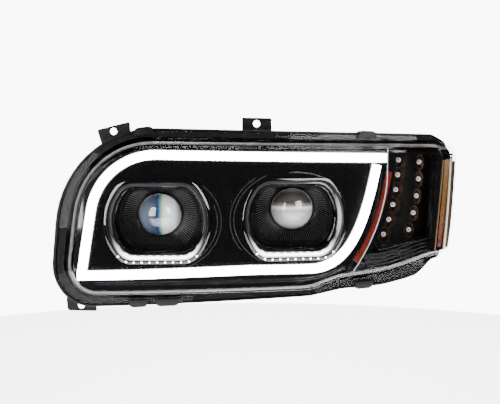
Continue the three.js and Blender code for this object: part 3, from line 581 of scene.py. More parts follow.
def surfaces():
    return {
        "housing": Surface("housing_plastic", (0.0022, 0.0022, 0.0025), 0.38, Specular_IOR_Level=0.14)
        .vary(60, 0.25).rough(40, 0.3, 0.46).grain(1500, 0.3),
        "gloss": Surface("gloss_black", (0.0016, 0.0016, 0.0018), 0.05, Coat_Weight=0.6, Coat_Roughness=0.02)
        .rough(25, 0.03, 0.08),
        "satin": Surface("satin_black", (0.003, 0.003, 0.0035), 0.25).rough(60, 0.2, 0.32).grain(1200, 0.1),
        "fluted": Surface("fluted_black", (0.0018, 0.0018, 0.002), 0.3, Specular_IOR_Level=0.14)
        .rough(40, 0.24, 0.36),
        "cup": Surface("cup_black", (0.0016, 0.0013, 0.0011), 0.3, Specular_IOR_Level=0.08)
        .rough(40, 0.24, 0.36),
        "rib_grey": Surface("mask_rib", (0.034, 0.034, 0.037), 0.3, Specular_IOR_Level=0.25).vary(300, 0.3),
        "rib_brown": Surface("cup_rib", (0.085, 0.044, 0.023), 0.3, Specular_IOR_Level=0.3).vary(300, 0.3),
        "contour": Surface("contour_black", (0.02, 0.02, 0.022), 0.18, Coat_Weight=0.8).rough(40, 0.14, 0.24),
        "sealant": Surface("sealant", (0.004, 0.004, 0.004), 0.7, Specular_IOR_Level=0.1)
        .vary(90, 0.3).grain(400, 0.4),
        "band": Surface("ribbed_trim", (0.20, 0.185, 0.175), 0.22, 0.35).vary(35, 0.18).rough(80, 0.16, 0.3),
        "bar": Surface("bar_diffuser", (0.92, 0.94, 1.0), 0.35).glow((0.93, 0.96, 1.0), 16.0).grain(700, 0.1),
        # The amber reflector glows faintly, though it is no lamp: a painted glow.
        "strip": prism_relief(Surface("amber_reflector", (0.05, 0.003, 0.0004), 0.3, Specular_IOR_Level=0.1)
                              .glow((0.9, 0.05, 0.0), 0.035), 420, 0.9),
        # The amber marker is a reflector, but glows faintly: a painted glow.
        "marker": prism_relief(painted_light_glass("amber_marker", metres((0, 0, MARKER_MIDDLE)), "Z", MARKER_PAINTED_GLOW,
                                          MARKER_HALF, 0.05), 500, 0.9),
        "brown": Surface("smoked_edge", (0.055, 0.032, 0.018), 0.15, Coat_Weight=0.4).vary(30, 0.2),
        "tan": Surface("tan_edge", (0.12, 0.075, 0.045), 0.3).vary(40, 0.2).grain(500, 0.1),
        # The cream edge also glows, a painted glow that makes it brighter than its own colour.
        "cream": Surface("cream_edge", (0.80, 0.68, 0.52), 0.3).vary(30, 0.1).glow((1.0, 0.86, 0.66), 0.35),
        "led_ring": Surface("led_ring", (0.30, 0.37, 0.45), 0.3).vary(900, 0.1),
        "led_core": Surface("led_core", (0.60, 0.10, 0.0), 0.5, Specular_IOR_Level=0.0)
        .glow((1.0, 0.14, 0.0), 0.16).vary(900, 0.1),
        "led_dot": Surface("led_dot", (0.9, 0.86, 0.8), 0.3).glow((1.0, 0.93, 0.82), 14.0).vary(900, 0.05),
        "board": Surface("board", (0.02, 0.16, 0.06), 0.4).vary(200, 0.3).grain(600, 0.2),
        "steel": Surface("bright_steel", (0.62, 0.63, 0.65), 0.24, 1.0).rough(120, 0.2, 0.34).grain(800, 0.1),
        "mirror": Surface("reflector_silver", (0.86, 0.87, 0.88), 0.08, 1.0).rough(50, 0.06, 0.14),
        "alloy": Surface("cast_alloy", (0.40, 0.41, 0.43), 0.45, 1.0).vary(90, 0.12).grain(700, 0.3),
        "black_steel": Surface("black_steel", (0.0028, 0.0028, 0.003), 0.35, Specular_IOR_Level=0.16)
        .rough(90, 0.28, 0.45).grain(900, 0.2),
        "rubber": Surface("rubber", (0.013, 0.013, 0.014), 0.7).vary(60, 0.3).grain(600, 0.4),
        "nylon": Surface("nylon", (0.66, 0.64, 0.57), 0.42, Subsurface_Weight=0.1)
        .vary(70, 0.06).grain(500, 0.15),
        "clear": clear_surface("clear_polycarbonate", (0.93, 0.95, 0.97), 0.008),
        # The clear divider rib glows faintly: a painted highlight along it.
        "hairline_highlight": Surface("clear_rib", (0.30, 0.31, 0.32), 0.15).vary(90, 0.1).glow((0.8, 0.85, 0.9), 0.1),
        "bulb": Surface("bulb_glass", (0.97, 0.98, 1.0), 0.02, IOR=1.45, Transmission_Weight=1.0),
        "floor": Surface("floor", (0.9, 0.9, 0.9), 0.6).vary(3, 0.02).grain(60, 0.03).glow((1, 1, 1), 5.0),
    }


MATERIALS = surfaces()


def paint(obj, key):
    obj.data.materials.clear()
    obj.data.materials.append(MATERIALS[key].material)
    return obj


def piece(obj, key, body="housing_body", nodes=()):
    """Gives a new piece its material and body, and hides the CAD nodes that it stands for."""
    paint(obj, key)
    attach(obj, body)
    if nodes:
        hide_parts(*nodes)
    return obj


def keep(node, key, edge=0.0):
    """Paints a CAD node that stays to be seen, and bevels its edges."""
    obj = paint(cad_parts[node], key)
    if edge:
        bevel(obj, edge)


# ------------------------------------------------------------------ rim, lens and housing
FACE, SIDE_COUNTS = rounded(FACE_CORNERS)
RIM, _ = rounded(RIM_CORNERS, lines=SIDE_COUNTS)


def rim_line(across, distance=0.0):
    line = [(a[0] + (b[0] - a[0]) * across, a[1] + (b[1] - a[1]) * across) for a, b in zip(FACE, RIM)]
    return offset(line, distance) if distance else line


def rim_ring(across, depth, distance=0.0):
    return [place(s, z, rim_depth(s, depth)) for s, z in rim_line(across, distance)]


def outer_lens():
    front = slab("lens_face", rim_line(0, -8), [], 0.2, 3.0, step=5)
    skirt = loft("lens_skirt", [rim_ring(*p) for p in (
        (0, 0.2, -8), (0, 0.5, -5), (0, 1.6, -2.4), (0, 3.6, -0.8), (0, 6.5, 0), (0.05, 12, 0),
        (SKIRT_FOOT - 0.03, FLANGE_FRONT - 1.5, 0), (SKIRT_FOOT + 0.02, FLANGE_FRONT, 0),
        (FLANGE_EDGE - 0.03, FLANGE_FRONT, 0), (FLANGE_EDGE, FLANGE_FRONT + 0.8, 0),
        (FLANGE_EDGE, FLANGE_BACK, 0), (SKIRT_FOOT, FLANGE_BACK, -3), (0.05, 13, -3.2),
        (0, 6.5, -3.4), (0, 4, -5.5), (0, 3, -8))], caps=(False, False), smooth=50)
    piece(joined("outer_lens_shell", [front, skirt]), "clear", nodes=("outer_lens",))


def lens_divider():
    line = [(222, 100), (222, 52)] + bezier([(222, 50), (219, 12), (205, -42), (169, -92)], 24)
    line += [(167, -95), (166, -98), (170, -101)]
    # Its material glows faintly: a painted highlight.
    piece(slab("lens_divider_rib", ribbon(line, 0.9), [], 3.2, 4.4), "hairline_highlight")


def lens_seal():
    rings = [rim_ring(*p) for p in ((0.5, 46.3), (0.83, 46.3), (0.83, 48.7), (0.5, 48.7))]
    piece(loft("lens_sealant", rings, closed=True), "sealant", nodes=("lens_seal",))


def bowl_ring(across, narrowing, reach):
    return [Vector((p.x * narrowing, p.y + reach * (BACK_Y - p.y), -10 + narrowing * (p.z + 10)))
            for p in rim_ring(across, RIM_BACK)]


def housing():
    bowl = [(0.988, 0.2), (0.98, 0.4), (0.966, 0.6), (0.948, 0.77), (0.93, 0.87), (0.905, 0.945),
            (0.875, 0.988), (0.845, 1.0)]
    inner = [bowl_ring(0.5, n, r * 0.985) for n, r in reversed(bowl)]
    outer = [bowl_ring(BOWL_OUTER, n, r) for n, r in bowl]
    rim = [rim_ring(*p) for p in (
        (0.5, 52), (0.5, 49), (LIP_INNER, 49), (LIP_INNER, 44), (LIP_INNER + 0.02, 43.5), (0.98, 43.5),
        (1.0, 44.2), (1.0, 51.3), (0.98, 52), (0.8, 52), (0.79, 51.2), (0.74, 51.2), (0.73, 52),
        (BOWL_OUTER + 0.02, 52))]
    shell = [loft("shell", inner + rim + outer)]
    for p in PROJECTORS:
        x = p.x
        shell.append(lathe("collar", [(37, BACK_Y - 1), (37, 245.6), (37.4, 246), (40.6, 246), (41, 245.6),
                                      (41, BACK_Y + 5), (43, BACK_Y + 1.2), (46, BACK_Y), (46, BACK_Y - 1)],
                           x, p.z, 96))
        for k in range(12):
            a = radians(15 + 30 * k)
            if abs(degrees(a) - 270) > 40:
                rib = block("rib", -1.2, 1.2, BACK_Y - 1, BACK_Y + 3.5, 47, 58, 0.5)
                turn = Matrix.Translation(metres((x, 0, p.z))) @ Matrix.Rotation(a - pi / 2, 4, "Y")
                rib.data.transform(turn @ Matrix.Translation(-metres((0, 0, 0))))
                shell.append(rib)
    for x in (-235, -70, -16, 130, 205):
        top = 84 if abs(x - MODULE_X) > 40 else -72
        shell.append(block("rib", x - 1.4, x + 1.4, BACK_Y - 2, BACK_Y + 4, -86, top, 0.6))
    for z in (-88, 86):
        shell.append(block("rib", -228, 212, BACK_Y - 2, BACK_Y + 3, z - 1.4, z + 1.4, 0.6))
    piece(joined("housing_shell", shell), "housing", nodes=("housing",))


def brackets():
    for name in ("upper_centre", "upper_inner", "lower_inner"):
        keep(name + "_bracket", "black_steel", 0.6)


def clips():
    """Sprung metal clips with a waist and rolled ends."""
    section = [(-9.6, 40.4), (-9, 39.9), (0.4, 39.9), (2.4, 40.6), (3, 42), (3, 53), (2.2, 54.6), (-5, 54.7),
               (-5, 53.3), (0.6, 53.2), (1.3, 52.6), (1.3, 42.2), (0.7, 41.5), (-9.6, 41.5)]
    for i, (s, side, width) in enumerate(CLIPS):
        edge = sorted(p for p in rim_line(1.0) if p[1] * side > 0)
        rings = []
        for t in (-1, -0.9, -0.72, -0.55, -0.2, 0.2, 0.55, 0.72, 0.9, 1):
            ring = []
            for out, depth in section:
                squeeze = 0.8 if out > 0 and abs(t) > 0.6 else 1.0
                lift = -1.5 if out > 0 and abs(t) > 0.8 else 0
                at = s + width / 2 * t * squeeze
                k = next(k for k, p in enumerate(edge) if p[0] > at)
                (s0, z0), (s1, z1) = edge[k - 1], edge[k]
                base = z0 + (z1 - z0) * (at - s0) / (s1 - s0)
                ring.append(place(at, base + side * (out + lift), rim_depth(at, depth)))
            rings.append(ring)
        piece(loft(f"rim_clip_steel_{i + 1}", rings), "black_steel", nodes=(f"rim_clip_{i + 1}",))


# ------------------------------------------------------------------ bezel and its trims
def ribbed_band():
    """The fine ribbed frame round the bezel, behind the lens's skirt."""
    count = round(sum((Vector(a) - Vector(b)).length for a, b in zip(FACE, FACE[1:])) / 1.35 / 2) * 2

    def ring(across, inset, depth, tooth=0.0):
        line = resample(rim_line(across, -inset), 1.0)
        spaced = [line[round(i * len(line) / count) % len(line)] for i in range(count)]
        return [place(s, z, rim_depth(s, depth + (tooth if i % 2 else 0))) for i, (s, z) in enumerate(spaced)]
    section = [(3.9, 42), (3.9, 38.6, 0.5), (4.4, 38, 0.9), (5.6, 37.6, 0.9), (8.0, 38, 0.9), (8.8, 39, 0.5),
               (8.8, 42)]
    rings = [ring(BAND_ACROSS, *q) for q in section]
    piece(loft("ribbed_trim_frame", rings, closed=True, smooth=50), "band")


def shroud_outline(p, inset):
    return [(p.s + x, p.shroud_z + z) for x, z in trimmed(SHROUD_R - inset, SHROUD_H - inset)]


def bezel():
    turn, _ = rounded(TURN_CORNERS, step=5)
    holes = [shroud_outline(p, -0.8) for p in PROJECTORS] + [turn]
    front = slab("bezel_front", rim_line(0, -5.6), holes, 17, 20, step=5, edge=0.7)
    wall = loft("bezel_wall", [rim_ring(0, 17.2, -5.6), rim_ring(0, 40, -5.6), rim_ring(0, 40, -7.6),
                               rim_ring(0, 19, -7.6)], closed=True)
    piece(joined("bezel_frame", [front, wall]), "gloss", nodes=("inner_bezel",))


def bar_line():
    x, z, r = BAR_TOP_LEFT
    arc, _ = rounded([(x, z, r), (*BAR_START, 1), (*BAR_BOTTOM_LEFT, 1)], arc=30, step=2000)
    return [BAR_START] + arc[:31][::-1] + [BAR_BOTTOM_LEFT]


def light_bar():
    top = ribbon(bar_line(), BAR_WIDTH, 0.5, 7.6)
    low = [BAR_BOTTOM_LEFT, BAR_BOTTOM_MID] + bezier(BAR_BLADE, 40)
    low[0] = (BAR_BOTTOM_LEFT[0] - BAR_WIDTH / 2 + 0.6, BAR_BOTTOM_LEFT[1] - 0.2)
    bottom = ribbon(low, BAR_WIDTH, 0.5, 7.6)
    bars = [slab("top", top, [], BAR_FRONT, BAR_BACK, step=8, edge=1.0),
            slab("bottom", bottom, [], BAR_FRONT + 0.02, BAR_BACK, step=8, edge=1.0)]
    piece(joined("light_bar_diffuser", bars), "bar", nodes=("light_bar",))
    for name, line in (("top", bar_line()), ("bottom", low[1:])):
        bed = slab(f"light_bar_bed_{name}", ribbon(line, BAR_WIDTH + 4.5), [], 15.4, 16.9, step=8, edge=0.4)
        piece(bed, "satin")


def sculpted_lines():
    """Raised contour lines that sweep round the projectors and along the bezel's lower edge."""
    arcs = []
    sweeps = [(0, 102, -66, 44), (0, 96, -58, 20), (1, 100, 118, 236), (1, 106, 128, 214), (1, 94, 60, 96)]
    for which, radius, start, end in sweeps:
        p = PROJECTORS[which]
        line = []
        for k in range(49):
            a = radians(start + (end - start) * k / 48)
            line.append((p.s + radius * cos(a), p.shroud_z + radius * 0.8 * sin(a)))
        arcs.append(slab("line", ribbon(line, 1.3), [], 15.4, 17.1, step=8, edge=0.4))
    for drop in (-113, -109.5):
        line = [(-250, drop), (60, drop + 1.5)]
        line += bezier([(80, drop + 1.5), (120, drop + 3), (135, drop + 12), (156, drop + 19)], 20)
        arcs.append(slab("line", ribbon(line, 0.9), [], 15.9, 17.1, step=8, edge=0.3))
    piece(joined("bezel_contour_lines", arcs), "contour")


def lower_trims():
    """Stepped dark trims that follow the outline under and beside the turn signal."""
    steps = []
    lines = []
    for k, inset in enumerate((10, 15.5, 21, 26.5)):
        line = [(s, z) for s, z in rim_line(0, -inset) if 185 < s < 352 - 7 * k and z < 40 - 12 * k]
        steps.append(slab("step", ribbon(line, 4.2), [], 10.5 + 1.7 * k, 17.2, step=6, edge=0.9))
        lines.append(slab("line", ribbon(line, 0.9), [], 10.1 + 1.7 * k, 11.5 + 1.7 * k, step=6, edge=0.2))
    for k in range(4):
        z = -97.5 + 3.4 * k
        fin = ribbon([(170 + 3 * k, z), (205 - 2 * k, z + 4)], 1.1)
        steps.append(slab("fin", fin, [], 12, 17.2, step=6, edge=0.3))
    piece(joined("lower_stepped_trim", steps), "fluted")
    piece(joined("lower_trim_lines", lines), "contour")
    ledge = [(212, -66), (262, -56), (314, -50)]
    piece(slab("turn_signal_ledge", ribbon(ledge, 2.0), [], 12, 30, step=6, edge=0.6), "satin")


def amber_strip():
    line = bezier(STRIP_LINE, 40)
    outline = ribbon(line, STRIP_WIDTH, 0.3, 3.0)
    prisms = slab("amber_reflector_prisms", outline, [], STRIP_FRONT, BAR_BACK, step=5, edge=0.7)
    piece(prisms, "strip", nodes=("amber_reflector_strip",))
    piece(slab("amber_reflector_bed", ribbon(line, 12), [], 15.6, 17.0, step=5, edge=0.3), "satin")


def side_marker():
    """Upright reflector at the outer end, between a tan trim and a cream edge. All lean inboard
    towards the bottom, with the rear edge of the lens."""
    def upright(name, top, bottom, front, key, z=(-72, 78), back=16.8, edge=0.5, nodes=()):
        low, high = z
        outline, _ = rounded([(top[0], high, 2), (top[1], high, 2), (bottom[1], low, 2), (bottom[0], low, 2)],
                             arc=4, step=6)
        return piece(slab(name, outline, [], front, back, step=4, edge=edge), key, nodes=nodes)
    upright("marker_tan_edge", (341.5, 343.5), (319.5, 321.5), 6.5, "tan", back=7.9)
    upright("marker_amber_prisms", (350, 371), (328, 339), 6.9, "marker", (-66, 78), 7.9,
            nodes=("side_reflector",))
    upright("marker_backing", (326, 424), (306, 360), 8, "gloss", (-73, 80), 17)
    # The cream edge's material glows: a painted glow.
    upright("marker_cream_edge", (387.5, 391.5), (349.5, 353.5), 6.5, "cream", (-72, 79), 7.9)
    upright("marker_outer_edge", (393, 422), (354.5, 359), 3.6, "brown", (-70, 72), 7.9)
    cap, _ = rounded([(236, 95, 1), (404, 86, 2), (403, 82, 1), (330, 88.5, 1), (236, 92, 1)], arc=3, step=6)
    piece(slab("marker_top_edge", cap, [], 6, 17.2, step=5, edge=0.4), "gloss")


# ------------------------------------------------------------------ turn signal
def led_places():
    return [(s - bow * (i * pitch) ** 2, top - i * pitch)
            for count, top, pitch, s, bow in LED_COLUMNS for i in range(count)]


def circle_in_face(s, z, radius, depth, square, count, flute=0.0):
    """A circle in face coordinates that turns towards the front as square goes from 0 to 1."""
    centre = place(s, z, depth)
    points = []
    for a in circle_angles(count):
        ripple = flute * cos(24 * a)
        bent = place(s + radius * cos(a), z + radius * sin(a), depth + ripple)
        front = centre + Vector((radius * cos(a), ripple, radius * sin(a)))
        points.append(bent.lerp(front, square))
    return points


def radial_rib(s, z, angle):
    """A thin rib on a cup, out from the emitter and over the cup's edge."""
    along = Vector((cos(angle), sin(angle)))
    side = Vector((-along.y, along.x)) * 0.28
    rings = []
    for radius, depth, square in ((6.4, 36.7, 0.9), (8.6, 35.0, 0.6), (11.0, 34.1, 0.2), (13.2, 33.7, 0)):
        ring = []
        for across, drop in ((-1, 0), (0, -0.45), (1, 0), (0, 0.6)):
            point = along * radius + side * across
            bent = place(s + point.x, z + point.y, depth + drop)
            front = place(s, z, depth + drop) + Vector((point.x, 0, point.y))
            ring.append(bent.lerp(front, square))
        rings.append(ring)
    return loft("rib", rings)


def turn_signal():
    turn, _ = rounded(TURN_CORNERS, step=5)
    outer = offset(turn, 4)
    places = led_places()
    holes = [[(s + CUP_RADIUS * cos(a), z + CUP_RADIUS * sin(a)) for a in circle_angles(48)]
             for s, z in places]
    parts = [slab("panel", outer, holes, PANEL_FRONT, PANEL_FRONT + 2, step=5, edge=0.3)]
    cup = [(CUP_RADIUS, 34, 0, 0), (11.0, 34.3, 0.2, 0.6), (8.6, 35.2, 0.6, 0.7), (6.6, 36.6, 0.9, 0.5),
           (5.9, 38, 1, 0), (5.6, 41, 1, 0)]
    for s, z in places:
        rings = [circle_in_face(s, z, r, d, square, 144, flute=flute) for r, d, square, flute in cup]
        parts.append(loft("cup", rings, caps=(False, False), smooth=60))
    piece(joined("turn_signal_cups", parts), "cup", nodes=("turn_signal_panel",))
    ribs = [radial_rib(s, z, 2 * pi * k / 26) for s, z in places for k in range(26)]
    piece(joined("turn_signal_cup_ribs", ribs), "rib_brown")
    section = [(1.5, 17.5), (2.5, 34), (4, 34), (4, 17.5)]
    wall = [[place(s, z, depth) for s, z in offset(turn, distance)] for distance, depth in section]
    piece(loft("turn_signal_wall", wall, closed=True), "fluted")
    dome = [(0.02, 0.0), (0.6, 0.35), (0.92, 1.0), (1.0, 1.4)]
    emitters = [("ring", "led_ring", 4.0, 0.4, 0.8), ("core", "led_core", 2.2, -0.8, 0.7)]
    for i, (s, z) in enumerate(places):
        centre = place(s, z, EMITTER_DEPTH)
        for name, key, radius, front, rise in emitters:
            profile = [(radius * r, front + rise * d) for r, d in dome] + [(radius, front + 5)]
            rings = [[centre + Vector((r * cos(a), y, r * sin(a))) for a in circle_angles(32)]
                     for r, y in profile]
            piece(loft(f"led_{name}_{i + 1}", rings), key)


# ------------------------------------------------------------------ projectors
def shroud_ring(p, inset, depth, wave=0.0):
    """One ring of a shroud. wave scallops its inset along the ring's lower part."""
    t = max(0, min(1, (depth - 16) / (SHROUD_STRAIGHT - 16)))
    ring = []
    for px, pz in trimmed(SHROUD_R - inset, SHROUD_H - inset, arc=48, turn=24, flat=26):
        if wave and pz < -20:
            grow = 1 + wave * abs(sin(pi * px / HALO_PITCH)) / hypot(px, pz)
            px, pz = px * grow, pz * grow
        bent = place(p.s + px, p.shroud_z + pz, depth)
        square = Vector((p.x + px, p.apex - FACE_TO_APEX + depth, p.shroud_z + pz))
        ring.append(bent.lerp(square, t))
    return ring


def shroud(p):
    profile = [(0, 36), (0, 16), (0.3, 15.3), (0.9, 15), (4.3, 13.7), (5.0, 13.8), (5.4, 14.4), (6.2, 24.4),
               (6.4, 25.2), (6.4, 34.4), (13.8, 34.4), (14.2, 35), (14.6, 42), (15, 42.4), (15.3, 52),
               (15.8, 52.4), (16, 64), (14, 64)]
    shell = loft(f"{p.name}_shroud_shell", [shroud_ring(p, *q) for q in profile], closed=True)
    piece(shell, "gloss", nodes=(f"{p.name}_shroud",))
    guide = [(6.9, 33.6), (6.9, 26.6), (7.3, 25.9), (7.9, 25.6), (9.9, 24.6), (10.6, 24.6), (11.2, 25.4, 1.4),
             (11.8, 27.6, 1.8), (11.8, 33.6, 1.8)]
    halo = loft(f"{p.name}_halo_guide", [shroud_ring(p, *q) for q in guide], closed=True)
    piece(halo, f"halo_{p.name}", nodes=(f"{p.name}_halo",))
    dots = []
    corner = sqrt((SHROUD_R - SHROUD_FILLET) ** 2 - (SHROUD_H - SHROUD_FILLET) ** 2)
    for k in range(-5, 6):
        px = k * HALO_PITCH
        past = max(0, abs(px) - corner)
        pz = SHROUD_FILLET - SHROUD_H - sqrt((SHROUD_FILLET - DOT_INSET) ** 2 - past ** 2)
        at = place(p.s + px, p.shroud_z + pz, 13.9)
        rings = [[at + Vector((r * cos(a), y, r * sin(a))) for a in circle_angles(20)]
                 for r, y in ((0.02, -0.8), (1.0, -0.5), (1.5, 0.2), (1.6, 1.6))]
        dots.append(loft("dot", rings))
    piece(joined(f"{p.name}_halo_emitters", dots), "led_dot")


def mask_ring(p, radius, half, y, turned=0.0, count=MASK_RIBS * 4):
    """Points at even angles on a flat-cut circle, with softened corners."""
    drop = (p.shroud_z - p.z) * max(0, min(1, (radius - 37) / 30))
    ring = []
    for i in range(count):
        a = 2 * pi * i / count + turned
        reach = (radius ** -14 + (half / max(abs(sin(a)), 1e-3)) ** -14) ** (-1 / 14)
        ring.append(Vector((p.x + reach * cos(a), p.apex + 15 + y, p.z + drop + reach * sin(a))))
    return ring


def lens_mask(p):
    """The ribbed funnel between the shroud and the projector's lens."""
    profile = [(72, 54, 2.5), (72, 54, 0), (66, 49.5, 0), (64.5, 48, 1.4), (62, 46, 1.6), (61, 45, 2.6),
               (60, 44.4, 2.8), (46, 40, 5.4), (37.8, 37.2, 7.6), (36.4, 36, 8.4), (34.4, 34, 8.2),
               (34.4, 34, 12), (36.4, 36, 12), (50, 44, 9)]
    funnel = loft(f"{p.name}_ribbed_mask", [mask_ring(p, *q) for q in profile], closed=True, smooth=20)
    piece(funnel, "fluted", p.body, (f"{p.name}_lens_mask",))
    track = [(59.4, 44.0, 2.2), (52, 42.0, 3.5), (46, 40, 4.7), (39.5, 37.8, 6.6)]
    lanes = [[mask_ring(p, *q, turned=turn, count=MASK_RIBS) for q in track] for turn in (-0.006, 0, 0.006)]
    ribs = []
    for k in range(MASK_RIBS):
        rings = []
        for low, middle, high in zip(*lanes):
            rings.append([low[k] + Vector((0, 0.8, 0)), middle[k], high[k] + Vector((0, 0.8, 0))])
        ribs.append(loft("rib", rings))
    piece(joined(f"{p.name}_mask_ribs", ribs), "rib_grey", p.body)


def projector(p):
    y = p.apex
    sweep = radians(70)
    profile = [(0, y)]
    for k in range(1, 25):
        a = sweep * k / 24
        sag = LENS_SAG * (1 - cos(a)) / (1 - cos(sweep))
        profile.append((LENS_R * sin(a) / sin(sweep), y + sag))
    profile += shifted([(33, 19.2), (33, 21.8), (32.6, 22), (0, 22)], y)
    lens = lathe(f"{p.name}_aspheric_lens", profile, p.x, p.z, 96, smooth=40)
    piece(lens, f"lens_{p.name}", p.body, (f"{p.name}_projector_lens",))
    carrier = [(31, 22.3), (33.4, 22.3), (33.4, 27.5), (36, 27.5), (36.4, 34), (37.6, 34), (38, 55), (45, 55),
               (45, 58), (35.5, 58), (33, 30), (31, 27)]
    casting = lathe(f"{p.name}_carrier_casting", shifted(carrier, y), p.x, p.z, 96, closed=True)
    piece(casting, "alloy", p.body, (f"{p.name}_lens_carrier",))
    bowl = [(45, 64.8), (45, 67.5), (39, 67.5), (37.6, 78), (34, 90), (26, 106), (15, 116), (15, 121),
            (12, 121), (12, 114), (23.5, 104), (32.5, 86), (37, 64.8)]
    reflector = lathe(f"{p.name}_reflector_bowl", shifted(bowl, y), p.x, p.z, 96, closed=True)
    piece(reflector, "mirror", p.body, (f"{p.name}_reflector",))
    glass = [(0, 84), (2.2, 84.6), (3.9, 86.4), (5.1, 89.5), (5.4, 93), (5.4, 118.7), (0, 118.7)]
    bulb = lathe(f"{p.name}_bulb_capsule", shifted(glass, y), p.x, p.z, 40)
    piece(bulb, "bulb", p.body, (f"{p.name}_bulb_glass",))
    finishes = {"aim_frame": "alloy", "bulb_base": "nylon", "bulb_retainer": "steel",
                "cutoff_shield": "steel"}
    for node, key in finishes.items():
        if f"{p.name}_{node}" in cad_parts:
            keep(f"{p.name}_{node}", key, 0.3)


def aiming(p):
    z = p.z - AIM_ARM
    keep(f"{p.name}_pivot_yoke", "black_steel")
    keep(f"{p.name}_aim_stud", "steel")
    body = [(8.5, -10), (8.5, 0.3), (12.6, 0.3), (13, 0.7), (13, 3.5), (12.5, 4), (5.4, 4), (5.4, -10)]
    adjuster = lathe(f"{p.name}_adjuster_body", shifted(body, BACK_Y), p.x, z, 48, closed=True)
    piece(adjuster, "nylon", nodes=(f"{p.name}_aim_body",))
    y = BACK_Y + 4.4
    grip = lathe("grip", shifted([(9.4, 0), (9.9, 0.5), (9.9, 6.4), (9.3, 7), (0, 7)], y), p.x, z, 144,
                 wave=lambda i, r, _: 0.5 * cos(pi * i / 4) if r > 8 else 0)
    head = [(5.2, 6.5), (5.2, 10.4), (4.7, 11), (2.2, 11), (2.2, 8.5), (0, 8.5)]
    hexagon = lathe("hexagon", shifted(head, y), p.x, z, 6, smooth=20)
    sleeve = lathe("sleeve", [(5, BACK_Y - 9), (5, y + 0.4), (3.4, y + 0.4), (3.4, BACK_Y - 9)], p.x, z, 32)
    piece(joined(f"{p.name}_adjuster_knob", [grip, hexagon, sleeve]), "nylon", f"{p.name}_knob",
          (f"{p.name}_aim_knob",))


def dust_cap(p):
    end = 252
    profile = [(0, -3), (42, -3), (42, -14), (44.4, -14), (45, -13.2), (45, -1.4), (43.8, -0.2),
               (41, 0), (37, 0), (36, -1), (33, -1), (32, 0), (0, 0)]

    def teeth(i, r, _):
        return -0.7 if r > 44 and i % 6 < 2 else 0
    cap = lathe("cap", shifted(profile, end), p.x, p.z, 216, wave=teeth)
    parts = [cap, block("grip", p.x - 30, p.x + 30, end - 1, end + 8, p.z - 3.4, p.z + 3.4, 1.6)]
    for side in (-26, 26):
        parts.append(block("pad", p.x + side - 5, p.x + side + 5, end - 1, end + 6.4, p.z - 4, p.z + 4, 1.5))
    piece(joined(f"{p.name}_access_cap", parts), "rubber", f"{p.name}_cap", (f"{p.name}_dust_cap",))
    keep(f"{p.name}_cap_seal", "rubber")


# ------------------------------------------------------------------ rear fittings
def rear_fittings():
    keep("driver_module", "alloy", 0.8)
    keep("connector_socket", "housing", 0.4)
    keep("light_bar_board", "board")
    keep("turn_signal_board", "satin")
    profile = [(4.6, -6), (4.6, 0.3), (9, 0.3), (9, 8.6), (8.4, 9.8), (7, 10.8), (5, 11), (0, 11)]
    for i, (x, z) in enumerate(((-235, 45), (170, 50))):
        cap = lathe(f"vent_membrane_cap_{i + 1}", shifted(profile, BACK_Y), x, z, 96,
                    wave=lambda k, r, _: -0.6 if r > 8.8 and k % 12 < 4 else 0)
        piece(cap, "rubber", nodes=(f"vent_cap_{i + 1}",))
    head = [(0, -1), (3.4, -1), (3.4, 0.6), (2.9, 1.6), (1.6, 2.2), (1.6, 1.2), (0, 1.2)]
    screws = [(MODULE_X + dx, z) for dx in (-34.5, 34.5) for z in (-12, 44)]
    for k, (x, z) in enumerate(screws):
        piece(lathe(f"module_screw_{k + 1}", shifted(head, BACK_Y + 10.3), x, z, 30), "steel")


def main():
    for p in PROJECTORS:
        middle = metres((p.x, p.apex, p.shroud_z))
        MATERIALS[f"halo_{p.name}"] = lit_guide(f"halo_guide_{p.name}", middle, SHROUD_R / 1000, p.side_glow)
        # Each projector lens gets painted reflections in its colour and glow.
        axis, stops = LENS_PAINTED_REFLECTIONS[p.name]
        lens = painted_light_glass(f"{p.name}_projector_glass", metres((p.x, p.apex, p.z)), axis, stops)
        MATERIALS[f"lens_{p.name}"] = lens
    outer_lens()
    lens_divider()
    lens_seal()
    housing()
    brackets()
    clips()
    ribbed_band()
    bezel()
    light_bar()
    sculpted_lines()
    lower_trims()
    amber_strip()
    side_marker()
    turn_signal()
    for p in PROJECTORS:
        shroud(p)
        lens_mask(p)
        projector(p)
        aiming(p)
        dust_cap(p)
    rear_fittings()


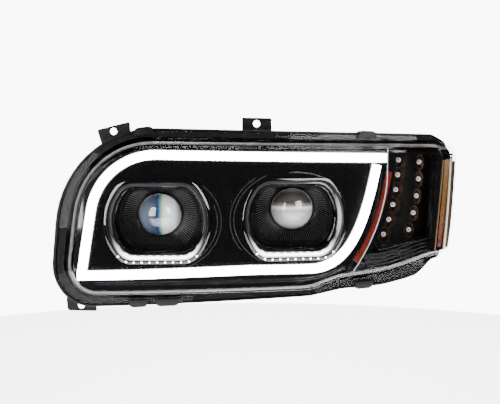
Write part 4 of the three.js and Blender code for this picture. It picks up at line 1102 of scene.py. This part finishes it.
# ------------------------------------------------------------------ stage
def area_light(name, location, target, size, power, size_y=None):
    data = bpy.data.lights.new(name, "AREA")
    data.shape = "RECTANGLE"
    data.size = size
    data.size_y = size_y or size
    data.energy = power
    light = new_object(name, data)
    light.location = location
    light.rotation_euler = (Vector(target) - Vector(location)).to_track_quat("-Z", "Y").to_euler()


def studio():
    """A pale backdrop to look at, with a dim surround, so that gloss black stays black."""
    world = bpy.data.worlds.new("studio")
    bpy.context.scene.world = world
    world.use_nodes = True
    tree = world.node_tree
    dim = tree.nodes["Background"]
    dim.inputs["Color"].default_value = (1, 1, 1, 1)
    dim.inputs["Strength"].default_value = WORLD_DIM
    pale = tree.nodes.new("ShaderNodeBackground")
    pale.inputs["Strength"].default_value = WORLD_PALE
    mix = tree.nodes.new("ShaderNodeMixShader")
    path = tree.nodes.new("ShaderNodeLightPath")
    tree.links.new(path.outputs["Is Camera Ray"], mix.inputs["Fac"])
    tree.links.new(dim.outputs["Background"], mix.inputs[1])
    tree.links.new(pale.outputs["Background"], mix.inputs[2])
    tree.links.new(mix.outputs["Shader"], tree.nodes["World Output"].inputs["Surface"])
    low, high = (Vector(c) for c in CAD_BOX)
    middle = (low + high) / 2
    bm = bmesh.new()
    bmesh.ops.create_circle(bm, cap_ends=True, segments=96, radius=1.7)
    ground = finish_mesh(bm, "studio_floor")
    ground.location = (middle.x, middle.y, low.z - 0.35)
    paint(ground, "floor")
    for name, across, up, power, width, height in LIGHTS:
        a, b = radians(across), radians(up)
        way = Vector((sin(a) * cos(b), -cos(a) * cos(b), sin(b)))
        spot = middle + LIGHT_DISTANCE * way
        area_light(name, spot, middle, width, power, height)
    area_light("top", (middle.x, middle.y - 0.1, high.z + 1.0), middle, 1.1, 16, 0.6)
    area_light("back", (middle.x, high.y + 1.0, high.z + 0.6), middle, 1.0, 22)


def camera():
    e = radians(CAMERA_ELEVATION)
    look = Vector((0, cos(e), -sin(e)))
    data = bpy.data.cameras.new("camera")
    data.lens = CAMERA_LENS
    data.sensor_width = 36
    data.clip_end = 50
    cam = new_object("camera", data)
    cam.location = metres(CAMERA_AIM) - look * (CAMERA_DISTANCE / 1000)
    cam.rotation_euler = look.to_track_quat("-Z", "Y").to_euler()
    bpy.context.scene.camera = cam


main()
studio()
camera()
bpy.context.view_layer.update()
